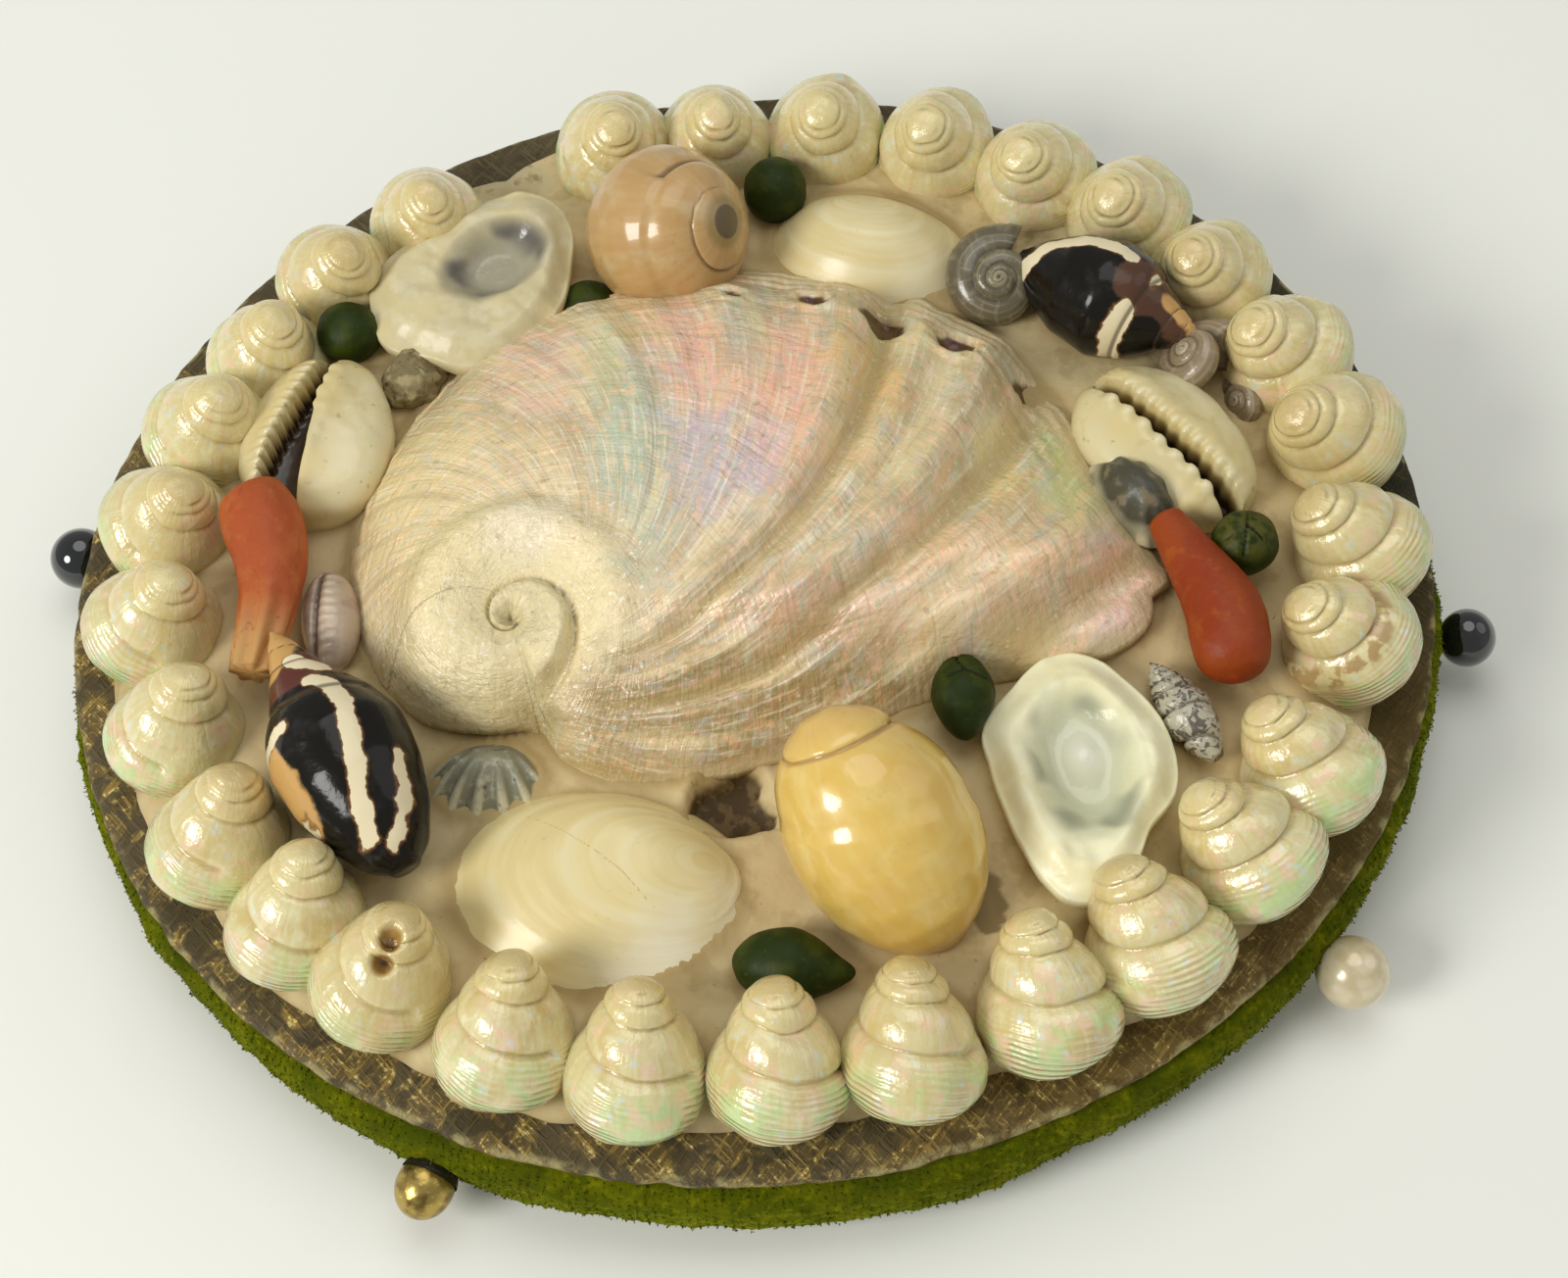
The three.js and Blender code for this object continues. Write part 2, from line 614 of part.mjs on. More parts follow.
const pieces = [];
for (let place = 0; place < RING_PLACES; place += 1) {
  if (place === RING_EMPTY_PLACE) continue;
  const [x, y] = ringPlace(RING_START - place / RING_PLACES, RING_NUDGES[place]);
  const outward = Math.atan2(y / (BOARD_WIDTH ** 2), x / (BOARD_LENGTH ** 2));
  const name = `ring_shell_${String(place).padStart(2, '0')}`;
  const shell = add(crown, name, topShellGeometry(RING_SHELL), PEARL);
  const inward = (outward * 180) / Math.PI + 180;
  shell.quaternion.copy(lean(inward, RING_LEAN)).multiply(
    new THREE.Quaternion().setFromAxisAngle(new THREE.Vector3(0, 0, 1), outward),
  );
  shell.position.set(x, y, RING_LIFT);
  flattenFoot(shell, FOOT_FLOOR);
  pieces.push(shell);
}

const abalone = add(crown, 'abalone_shell', abaloneGeometry(), NACRE);
abalone.position.set(...layout(ABALONE.spire), ABALONE.seatHeight);
pieces.push(abalone);

for (const [name, spec] of Object.entries(PERIWINKLES)) {
  const shell = add(crown, name, periwinkleGeometry(spec), name === 'periwinkle_tan' ? TAN : YELLOW);
  shell.quaternion.copy(lean(spec.towards, spec.lean));
  setOnBed(shell, spec.at, spec.lift);
  pieces.push(shell);
}
for (const [name, spec] of Object.entries(COWRIES)) {
  const shell = add(crown, name, cowrieGeometry(spec), COWRIE);
  shell.rotation.z = radians(spec.turn);
  setOnBed(shell, spec.at, spec.lift);
  pieces.push(shell);
}
const smallCowrie = add(crown, 'small_cowrie', eggGeometry(SMALL_COWRIE), COWRIE);
smallCowrie.rotation.z = radians(SMALL_COWRIE.turn);
setOnBed(smallCowrie, SMALL_COWRIE.at, SMALL_COWRIE.lift);
pieces.push(smallCowrie);
for (const [name, spec] of Object.entries(CORALS)) {
  const { geometry, middle } = coralGeometry(spec);
  const twig = add(crown, name, geometry, CORAL);
  setOnBed(twig, middle, spec.lift);
  pieces.push(twig);
}
for (const [name, spec] of Object.entries(SPINDLES)) {
  const shell = add(crown, name, spindleGeometry(spec), name === 'speckled_shell' ? GREY : STRIPED);
  shell.quaternion.copy(lean(spec.towards, 90 - spec.dip));
  setOnBed(shell, spec.at, spec.lift);
  pieces.push(shell);
}
for (const [name, spec] of Object.entries(DISHES)) {
  const shell = add(crown, name, dishGeometry(spec), LIMPET);
  setOnBed(shell, spec.at, spec.lift);
  pieces.push(shell);
}
for (const [name, spec] of Object.entries(DOMES)) {
  const shell = add(crown, name, domeGeometry(spec), spec.material === 'grey' ? GREY : CLAM);
  shell.rotation.z = radians(spec.turn);
  setOnBed(shell, spec.at, spec.lift);
  pieces.push(shell);
}
for (const [name, spec] of Object.entries(SMALL_SNAILS)) {
  const size = { width: spec.radius * 2, depth: spec.radius * 2, spire: spec.spire, base: spec.base };
  const shell = add(crown, name, topShellGeometry(size), GREY);
  shell.quaternion.copy(lean(spec.towards, spec.lean));
  setOnBed(shell, spec.at, spec.lift);
  pieces.push(shell);
}
for (const [name, spec] of Object.entries(SEEDS)) {
  const seed = add(crown, name, eggGeometry(spec), SEED);
  seed.rotation.z = radians(spec.turn);
  setOnBed(seed, spec.at, spec.lift);
  pieces.push(seed);
}

// Each piece gives way to the ones set before it, and the bed to all of them.
const rooms = [];
for (const piece of pieces) {
  const needed = room(piece);
  makeRoom(piece, rooms);
  rooms.push(needed);
}
let bedSolid = toSolid(placedGeometry(bed));
for (const spec of Object.values(BEDDED)) {
  const lump = new THREE.Mesh(eggGeometry(spec));
  crown.add(lump);
  lump.rotation.z = radians(spec.turn);
  setOnBed(lump, spec.at, BEDDED_LIFT);
  bedSolid = bedSolid.add(toSolid(placedGeometry(lump)));
  crown.remove(lump);
}
bed.updateWorldMatrix(true, false);
bed.geometry = toGeometry(bedSolid).applyMatrix4(bed.matrixWorld.clone().invert());
makeRoom(bed, rooms);

// Pins in the side of the pad
const pinRooms = [];
for (const [name, spec] of Object.entries(PINS)) {
  const bearing = radians(spec.bearing);
  const [across, along] = spec.head;
  const head = new THREE.SphereGeometry(across / 2, PIN_HEAD_SIDES, PIN_HEAD_RINGS);
  head.scale(1, along / across, 1);
  const shaft = new THREE.CylinderGeometry(PIN_SHAFT / 2, PIN_SHAFT / 4, spec.shaftReach, PIN_SHAFT_SIDES);
  shaft.translate(0, -spec.shaftReach / 2, 0);
  const pin = add(model, name, toGeometry(toSolid(head).add(toSolid(shaft))), BLACK);
  const proud = along / 2 + TOUCH_GAP - spec.pressed;
  const halfLength = padHalfLength + proud;
  const halfWidth = padHalfWidth + proud;
  const reach = 1 / Math.hypot(Math.cos(bearing) / halfLength, Math.sin(bearing) / halfWidth);
  const [x, y] = [reach * Math.cos(bearing), reach * Math.sin(bearing)];
  const outward = Math.atan2(y / halfWidth ** 2, x / halfLength ** 2);
  pin.rotation.z = outward - Math.PI / 2;
  pin.position.set(x, y, PIN_LEVEL);
  if (name === 'pin_pearl') pin.material = PIN_PEARL;
  if (name === 'pin_brass') pin.material = BRASS;
  pinRooms.push(room(pin));
}
makeRoom(pad, pinRooms);

export default model;
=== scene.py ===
import math

import bpy
import numpy as np
from mathutils import Matrix, Vector
from mathutils.bvhtree import BVHTree


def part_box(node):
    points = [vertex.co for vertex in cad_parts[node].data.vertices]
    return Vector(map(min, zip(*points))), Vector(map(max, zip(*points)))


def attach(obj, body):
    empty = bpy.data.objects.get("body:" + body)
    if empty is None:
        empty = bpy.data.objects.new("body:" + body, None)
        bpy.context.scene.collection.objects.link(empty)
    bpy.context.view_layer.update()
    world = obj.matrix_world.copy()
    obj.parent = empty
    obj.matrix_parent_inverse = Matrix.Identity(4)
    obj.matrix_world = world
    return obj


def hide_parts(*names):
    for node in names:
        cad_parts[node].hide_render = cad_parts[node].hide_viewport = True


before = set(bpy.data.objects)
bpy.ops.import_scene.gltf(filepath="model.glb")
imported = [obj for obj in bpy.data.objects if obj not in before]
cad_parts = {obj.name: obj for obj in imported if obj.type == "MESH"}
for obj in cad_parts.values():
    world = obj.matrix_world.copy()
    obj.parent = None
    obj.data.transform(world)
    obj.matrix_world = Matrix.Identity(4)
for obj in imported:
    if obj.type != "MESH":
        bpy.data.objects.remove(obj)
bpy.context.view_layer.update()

# Board coordinates: millimetres from the middle of the board's top, +X right, +Y to the back, +Z up.
MM = 0.001
TURN = 2 * math.pi
board_low, board_high = (np.array(corner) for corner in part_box("top_board"))
ORIGIN = np.array([(board_low[0] + board_high[0]) / 2, (board_low[1] + board_high[1]) / 2, board_high[2]])
HALF_LENGTH = (board_high[0] - board_low[0]) / 2 / MM
HALF_WIDTH = (board_high[1] - board_low[1]) / 2 / MM
BOARD_THICK = (board_high[2] - board_low[2]) / MM
RING = [f"ring_shell_{place:02d}" for place in range(1, 30)]


def node_box(name):
    """Lowest and highest corner of a CAD node in board coordinates."""
    low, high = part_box(name)
    return (np.array(low) - ORIGIN) / MM, (np.array(high) - ORIGIN) / MM


def middle(name):
    low, high = node_box(name)
    return (low + high) / 2


def corners_of(node):
    """The corners of a CAD node, in board coordinates."""
    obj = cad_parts[node]
    return np.array([(np.array(obj.matrix_world @ vertex.co) - ORIGIN) / MM for vertex in obj.data.vertices])


# Smooth numbers in space
def lumps(points, size, seed=0, octaves=1):
    """Smooth noise from about -1 to 1, with lumps of that size in millimetres."""
    total = 0
    weight = 1
    for octave in range(octaves):
        place = np.asarray(points, float) / (size / 2 ** octave)
        cell = np.floor(place).astype(np.int64)
        share = place - cell
        share = share * share * (3 - 2 * share)
        for corner in range(8):
            step = np.array([(corner >> axis) & 1 for axis in range(3)])
            part = np.prod(np.where(step == 1, share, 1 - share), axis=-1)
            key = (cell + step) @ np.array([73856093, 19349663, 83492791]) + (seed * 7 + octave) * 40503
            key = ((key ^ (key >> 13)) * 1274126177) & 0xFFFFFFFF
            key = (key ^ (key >> 15)) & 0xFFFF
            total = total + weight * part * (key / 32767.5 - 1)
        weight /= 2
    return total


def ease(value, start, end):
    """0 before start, 1 after end, smooth between."""
    share = np.clip((value - start) / (end - start), 0, 1)
    return share * share * (3 - 2 * share)


def bell(value, width):
    """1 at 0, falling off smoothly to both sides over about the width."""
    return np.exp(-(value / width) ** 2)


def places(x, y, z=0.0):
    """Points from grids, rows or columns of x, y and z."""
    return np.stack(np.broadcast_arrays(x, y, z), -1)


def round_row(count):
    """Turns in radians once round, as a row."""
    return np.linspace(0, TURN, count, endpoint=False)[None, :]


def turned_to(towards, lean):
    """Rotation that leans +Z by lean degrees towards a bearing in degrees."""
    bearing = math.radians(towards)
    axis = Vector((-math.sin(bearing), math.cos(bearing), 0))
    return np.array(Matrix.Rotation(math.radians(lean), 3, axis))


def about_z(degrees):
    return np.array(Matrix.Rotation(math.radians(degrees), 3, "Z"))


def outline_radius(knots, turn):
    """Radius of a closed outline through (degrees, radius) knots at the turns given in radians."""
    angles = np.array([knot[0] for knot in knots], float)
    radii = np.array([knot[1] for knot in knots], float)
    angles = np.concatenate([angles - 360, angles, angles + 360])
    radii = np.concatenate([radii] * 3)
    degrees = np.degrees(turn) % 360
    after = np.searchsorted(angles, degrees, side="right")
    before = after - 1
    span = angles[after] - angles[before]
    share = (degrees - angles[before]) / span
    slope_from = (radii[after] - radii[before - 1]) / (angles[after] - angles[before - 1]) * span
    slope_to = (radii[after + 1] - radii[before]) / (angles[after + 1] - angles[before]) * span
    square, cube = share ** 2, share ** 3
    return ((2 * cube - 3 * square + 1) * radii[before] + (cube - 2 * square + share) * slope_from
            + (3 * square - 2 * cube) * radii[after] + (cube - square) * slope_to)


# Meshes
def make_mesh(name, points, faces, marks=None):
    """An object from points in board coordinates, with numbers kept at its corners for its material."""
    mesh = bpy.data.meshes.new(name)
    mesh.from_pydata((points * MM + ORIGIN).tolist(), [], faces)
    for mark, values in (marks or {}).items():
        layer = mesh.attributes.new(mark, "FLOAT", "POINT")
        layer.data.foreach_set("value", np.ascontiguousarray(values, dtype=np.float32).ravel())
    mesh.validate()
    mesh.shade_smooth()
    obj = bpy.data.objects.new(name, mesh)
    bpy.context.scene.collection.objects.link(obj)
    return obj


def skin(name, points, marks=None, ends=(True, True)):
    """An object from rows of points. Rows close on themselves, and each end is drawn in to a point.

    A mark is a value, a row, a column or a grid. One with fewer rows than the points repeats its last row.
    """
    rows, columns = points.shape[:2]
    flat = points.reshape(-1, 3)
    index = np.arange(rows * columns).reshape(rows, columns)
    beside = np.roll(index, -1, axis=1)
    quads = np.stack([index[:-1], index[1:], beside[1:], beside[:-1]], -1).reshape(-1, 4)
    faces = quads.tolist()
    kept = {}
    for mark, values in (marks or {}).items():
        values = values + np.zeros((1, columns))
        kept[mark] = np.pad(values, ((0, rows - len(values)), (0, 0)), mode="edge").ravel()
    extra = []
    for row, wanted in ((0, ends[0]), (rows - 1, ends[1])):
        if not wanted:
            continue
        tip = len(flat) + len(extra)
        extra.append(points[row].mean(axis=0))
        for mark in kept:
            kept[mark] = np.append(kept[mark], kept[mark][index[row]].mean())
        for a, b in zip(index[row].tolist(), beside[row].tolist()):
            faces.append([a, b, tip] if row == 0 else [b, a, tip])
    flat = np.vstack([flat, *extra])
    corners = flat[quads]
    facing = np.cross(corners[:, 2] - corners[:, 0], corners[:, 3] - corners[:, 1])
    if (facing * (corners.mean(axis=1) - flat.mean(axis=0))).sum() < 0:
        faces = [face[::-1] for face in faces]
    return make_mesh(name, flat, faces, kept)


def settle(points, node):
    """Moves points so that their middle and top lie where the CAD node's do."""
    low, high = node_box(node)
    flat = points.reshape(-1, 3)
    move = (low + high) / 2 - (flat.min(axis=0) + flat.max(axis=0)) / 2
    move[2] = high[2] - flat[:, 2].max()
    return points + move


def dress(obj, node, material):
    """Gives a piece its material and body, and hides the CAD node it stands for."""
    obj.data.materials.append(material)
    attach(obj, "root")
    if node:
        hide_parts(node)
    return obj


def away_from(points, centre):
    """Unit vectors at the points, away from the centre."""
    away = points - centre
    return away / (np.linalg.norm(away, axis=-1, keepdims=True) + 1e-9)


def roughened(points, size, seed, octaves, depth):
    return points + lumps(points, size, seed, octaves)[..., None] * depth


# Materials
class Paint:
    """A procedural material that is built up in layers over a base colour.

    Every colour of the material is tinted by its wash, and coat is the weight and roughness of its clear coat.
    """

    def __init__(self, name, colour, rough, wash=(1, 1, 1), coat=(0, 0.03), **shader):
        shader["Coat_Weight"], shader["Coat_Roughness"] = coat
        self.wash = wash
        self.material = bpy.data.materials.new(name)
        self.material.use_nodes = True
        self.tree = self.material.node_tree
        self.shader = self.tree.nodes["Principled BSDF"]
        self.places = self.node("ShaderNodeTexCoord").outputs["Object"]
        self.colour = self.washed(colour)
        self.rough = rough
        self.bumps = None
        for key, value in shader.items():
            self.shader.inputs[key.replace("_", " ")].default_value = value

    def washed(self, colour):
        return tuple(part * tint for part, tint in zip(colour, self.wash)) + (1,)

    def node(self, kind, values=None, **settings):
        """A shader node. Its values are numbers, sockets or the names of marks."""
        node = self.tree.nodes.new(kind)
        for key, value in settings.items():
            setattr(node, key, value)
        for key, value in (values or {}).items():
            value = self.mark(value) if isinstance(value, str) else value
            if isinstance(value, bpy.types.NodeSocket):
                self.tree.links.new(value, node.inputs[key])
            else:
                node.inputs[key].default_value = value
        return node

    def mark(self, name):
        return self.node("ShaderNodeAttribute", attribute_name=name).outputs["Fac"]

    def math(self, how, a, b=0.0):
        return self.node("ShaderNodeMath", {0: a, 1: b}, operation=how).outputs[0]

    def times(self, a, b):
        return self.math("MULTIPLY", a, b)

    def plus(self, a, b):
        return self.math("ADD", a, b)

    def minus(self, a, b):
        return self.math("SUBTRACT", a, b)

    def vector(self, x, y, z=0.0):
        return self.node("ShaderNodeCombineXYZ", {0: x, 1: y, 2: z}).outputs[0]

    def stretched(self, scale, turn=0.0):
        """The places, turned about Z and stretched; a scale below 1 draws a texture out along that axis."""
        rotation = (0, 0, math.radians(turn))
        turned = self.node("ShaderNodeMapping", {"Vector": self.places, "Rotation": rotation})
        return self.node("ShaderNodeMapping", {"Vector": turned.outputs[0], "Scale": scale}).outputs[0]

    def noise(self, size, detail=3.0, where=None, twist=0.0, unit=1 / MM):
        return self.node("ShaderNodeTexNoise", {
            "Vector": where or self.places, "Scale": unit / size, "Detail": detail, "Distortion": twist,
        }).outputs["Fac"]

    def drawn(self, detail, *parts):
        """Noise over marks in place of the places, each as it is or as (mark, how fine)."""
        axes = [self.times(*part) if isinstance(part, tuple) else part for part in parts]
        return self.noise(1.0, detail, self.vector(*axes), unit=1.0)

    def step(self, value, low, high):
        return self.node("ShaderNodeMapRange", {
            "Value": value, "From Min": low, "From Max": high}, interpolation_type="SMOOTHSTEP").outputs[0]

    def layer(self, mask, colour, share=1.0):
        """Lays a colour over what is there, where the mask is 1."""
        if share != 1.0:
            mask = self.math("MULTIPLY", mask, share)
        colour = colour if isinstance(colour, bpy.types.NodeSocket) else self.washed(colour)
        mix = self.node("ShaderNodeMix", {"Factor": mask}, data_type="RGBA")
        for socket, value in ((mix.inputs[6], self.colour), (mix.inputs[7], colour)):
            if isinstance(value, bpy.types.NodeSocket):
                self.tree.links.new(value, socket)
            else:
                socket.default_value = value
        self.colour = mix.outputs[2]
        return self

    def where(self, value, low, high, colour, share=1.0):
        """Lays a colour over what is there, as a value goes from low to high."""
        return self.layer(self.step(value, low, high), colour, share)

    def spots(self, size, detail, low, high, colour, share=1.0, twist=0.0):
        """Lays a colour over the spots of a noise of that size in millimetres."""
        return self.where(self.noise(size, detail, twist=twist), low, high, colour, share)

    def smooth(self, mask, rough):
        """Sets another roughness where the mask is 1."""
        mix = self.node("ShaderNodeMix", {"Factor": mask, 2: self.rough, 3: rough}, data_type="FLOAT")
        self.rough = mix.outputs[0]
        return self

    def bump(self, height, depth, strength=1.0):
        values = {"Height": height, "Distance": depth * MM, "Strength": strength}
        if self.bumps:
            values["Normal"] = self.bumps
        self.bumps = self.node("ShaderNodeBump", values).outputs[0]
        return self

    def grain(self, size, detail, depth, strength):
        return self.bump(self.noise(size, detail), depth, strength)

    def done(self):
        ends = {"Base Color": self.colour, "Roughness": self.rough, "Normal": self.bumps,
                "Coat Normal": self.bumps}
        for key, value in ends.items():
            if isinstance(value, bpy.types.NodeSocket):
                self.tree.links.new(value, self.shader.inputs[key])
            elif value is not None:
                self.shader.inputs[key].default_value = value
        return self.material


# Coiled shells
EXPOSED = np.radians(np.linspace(-120, 112, 42))
HIDDEN = np.radians([140.0, 170.0, 200.0, 225.0])
AROUND = np.concatenate([EXPOSED, HIDDEN])[None, :]
ROWS_PER_LAP = 28


def coil(laps, growth, reach, tube, up, down, climb, spin, dive):
    """Rows of points along a coiled tube, from the tip of the spire to the lip, with +Z at the spire.

    The tube widens by growth each lap up to lap 0. reach is its distance from the axis there, tube its half
    width, up and down its half heights, climb how far the spire's tip is above its middle, and dive how far
    the lip drops.
    """
    lap = np.linspace(-laps, 0, int(laps * ROWS_PER_LAP) + 1)[:, None]
    size = growth ** lap
    rise = np.where(np.sin(AROUND) > 0, up, down) * np.sin(AROUND)
    radius = (reach + tube * np.cos(AROUND)) * size
    turn = spin - TURN * lap
    sink = dive * ease(lap, -0.3, 0.0)
    height = climb * (1 - size) + rise * size - sink
    points = places(radius * np.cos(turn), radius * np.sin(turn), height)
    lip = points[-1]
    inner = lip.mean(axis=0) + (lip - lip.mean(axis=0)) * 0.86
    return np.concatenate([points, inner[None]]), {"lap": lap, "around": AROUND}


def near(points, place, radius):
    """1 at a place in board coordinates, falling to 0 about radius away."""
    gap = np.linalg.norm(points - np.array(place, float), axis=-1)
    return bell(gap, radius)


def whorls(length, radius, profile, pitch, wound, dents, rows, columns, sharpness=1.0):
    """Rows of a coiled shell turned round Z, tip up, from (along, share of the radius) pairs.

    along runs from the tip to the foot. The suture winds down from the tip and ends wound along, and each
    of its turns is pitch as far along as the next.
    """
    along = (np.linspace(0.004, 0.996, rows) ** sharpness)[:, None]
    around = round_row(columns)
    knots = [(0.0, 0.0), *profile, (1.0, profile[-1][1] * 0.35)]
    spread = np.interp(along[:, 0], [knot[0] for knot in knots], [knot[1] for knot in knots])
    kernel = np.hanning(max(5, rows // 12) | 1)
    padded = np.pad(spread, len(kernel) // 2, mode="edge")
    spread = np.convolve(padded, kernel / kernel.sum(), mode="valid")[:, None]
    lap = np.log(along / wound) / math.log(1 / pitch) - around / TURN
    reached = along * pitch ** (around / TURN) / wound
    on_spire = 1 - ease(reached, 0.75, 0.92)
    on_spire = on_spire * ease(along, 0.0, 0.08)
    part = lap % 1
    bulge = np.sin(math.pi * part) ** 0.6
    suture = bell(np.minimum(part, 1 - part), 0.06) * on_spire
    girth = spread * radius * (1 + 0.10 * dents * on_spire * (bulge - 0.9)) - 0.16 * dents * suture
    girth = np.maximum(girth, 0.02)
    points = places(girth * np.cos(around), girth * np.sin(around), length * (0.5 - along))
    return points, {"along": along, "side_x": np.cos(around), "side_y": np.sin(around), "suture": suture,
                    "lap_x": np.cos(TURN * lap), "lap_y": np.sin(TURN * lap)}


RING_LEAN = 25
RING_LENGTH, RING_RADIUS = 13.2, 5.85
RING_PROFILE = [(0.006, 0.13), (0.022, 0.23), (0.05, 0.32), (0.10, 0.41), (0.17, 0.50), (0.25, 0.60),
                (0.34, 0.72), (0.43, 0.84), (0.52, 0.93), (0.60, 0.98), (0.69, 1.0), (0.79, 0.95),
                (0.88, 0.80), (0.95, 0.58)]
# Stains on ring shells, as (shell, place, radius, strength)
RING_STAINS = [
    (11, (45.2, -14.6, 8.2), 1.7, 0.75), (9, (54.2, -4.9, 5), 0.45, 1.0),
    (15, (12.0, -49.0, 4), 0.7, 0.9), (18, (-8.7, -44.6, 5), 1.2, 0.8), (18, (-14.5, -46.2, 4.6), 0.9, 0.5),
    (6, (40.8, 26.7, 5), 2.2, 0.5), (5, (32.8, 33.5, 5), 2.4, 0.45), (7, (46.4, 21.5, 5), 2.0, 0.35),
    (21, (-37.6, -35.4, 5.6), 1.5, 0.5), (8, (52.9, 3.2, 5), 0.5, 0.7),
]
RING_GRID = (70, 60)
CORDS_PER_TURN = 13.0
CORD_WANDER = 3.0
# The ring shell with a brown band below its spire
BANDED_RING = 11
# Holes on ring shells, as (shell, right of the tip, below it as seen from the front, radius)
RING_HOLES = [(20, -0.7, 1.5, 1.15), (20, -1.6, 3.5, 1.1)]


def spire_tip(node):
    """The highest corner of a CAD node, in board coordinates."""
    return max(corners_of(node), key=lambda corner: corner[2])


def ring_shell(place):
    """A shell of the ring, with its tip at the CAD solid's. Those at the front right lean in the most."""
    node = RING[place - 1]
    centre = middle(node)
    outward = math.atan2(centre[1] / HALF_WIDTH ** 2, centre[0] / HALF_LENGTH ** 2)
    front_right = math.cos(outward + math.radians(45))
    chance = np.random.default_rng(place)
    points, marks = whorls(RING_LENGTH, RING_RADIUS, RING_PROFILE, 0.44, chance.uniform(0.48, 0.60),
                           chance.uniform(1.3, 1.8), *RING_GRID, 1.25)
    points = points @ about_z(90 + math.degrees(chance.uniform(-0.5, 0.5))).T
    size = 1.0 + chance.uniform(-0.02, 0.02)
    depth = 0.97 + 0.025 * (1 + math.cos(outward))
    points = points * [1.06 * size, depth * size, 1 + chance.uniform(-0.03, 0.03)]
    points = points @ about_z(math.degrees(outward)).T
    inward = math.degrees(outward) + 180 + chance.uniform(-14, 14)
    lean = RING_LEAN + 7 * front_right + chance.uniform(-2, 5)
    tipped = turned_to(inward, lean + 9 * max(0.0, front_right)).T
    belly = np.array([0, 0, -0.6 * RING_LENGTH])
    rolled = belly @ turned_to(inward, lean).T - belly @ tipped
    points = points @ tipped
    points = points + spire_tip(node) + rolled - points[0].mean(axis=0)
    points = roughened(points, 3.4, place, 2, 0.16)
    marks["stain"] = sum(strength * near(points, spot, radius)
                         for shell, spot, radius, strength in RING_STAINS if shell == place)
    if place == BANDED_RING:
        marks["stain"] = marks["stain"] + 0.9 * bell(marks["along"] - 0.42, 0.07)
    marks["hole"] = 0
    from_tip = points - points[0].mean(axis=0)
    below = -from_tip @ np.array([0, 0.72, 0.69])
    for shell, right, down, radius in RING_HOLES:
        if shell == place:
            spot = np.exp(-((from_tip[..., 0] - right) ** 2 + (below - down) ** 2) / radius ** 2)
            spot = spot * (from_tip[..., 1] < 0.6)
            marks["hole"] = np.maximum(marks["hole"], spot)
            sunk = (1.3 * ease(spot, 0.35, 0.75))[..., None]
            points = points - away_from(points, points.mean(axis=(0, 1))) * sunk
    marks["tone"] = chance.uniform(0, 1)
    return dress(skin(f"pearly_{node}", points, marks), node, PEARL)


def cords_of(paint):
    """Cords that wind round a coiled shell beside its suture."""
    angle = paint.math("ARCTAN2", "lap_y", "lap_x")
    drift = paint.times(paint.noise(3.0, 2), CORD_WANDER)
    return paint.math("COSINE", paint.plus(paint.times(angle, CORDS_PER_TURN), drift))


def growth_of(paint, fineness):
    """Growth lines that run down a coiled shell, across its cords."""
    return paint.drawn(3, ("side_x", fineness), ("side_y", fineness), ("along", 3.0))


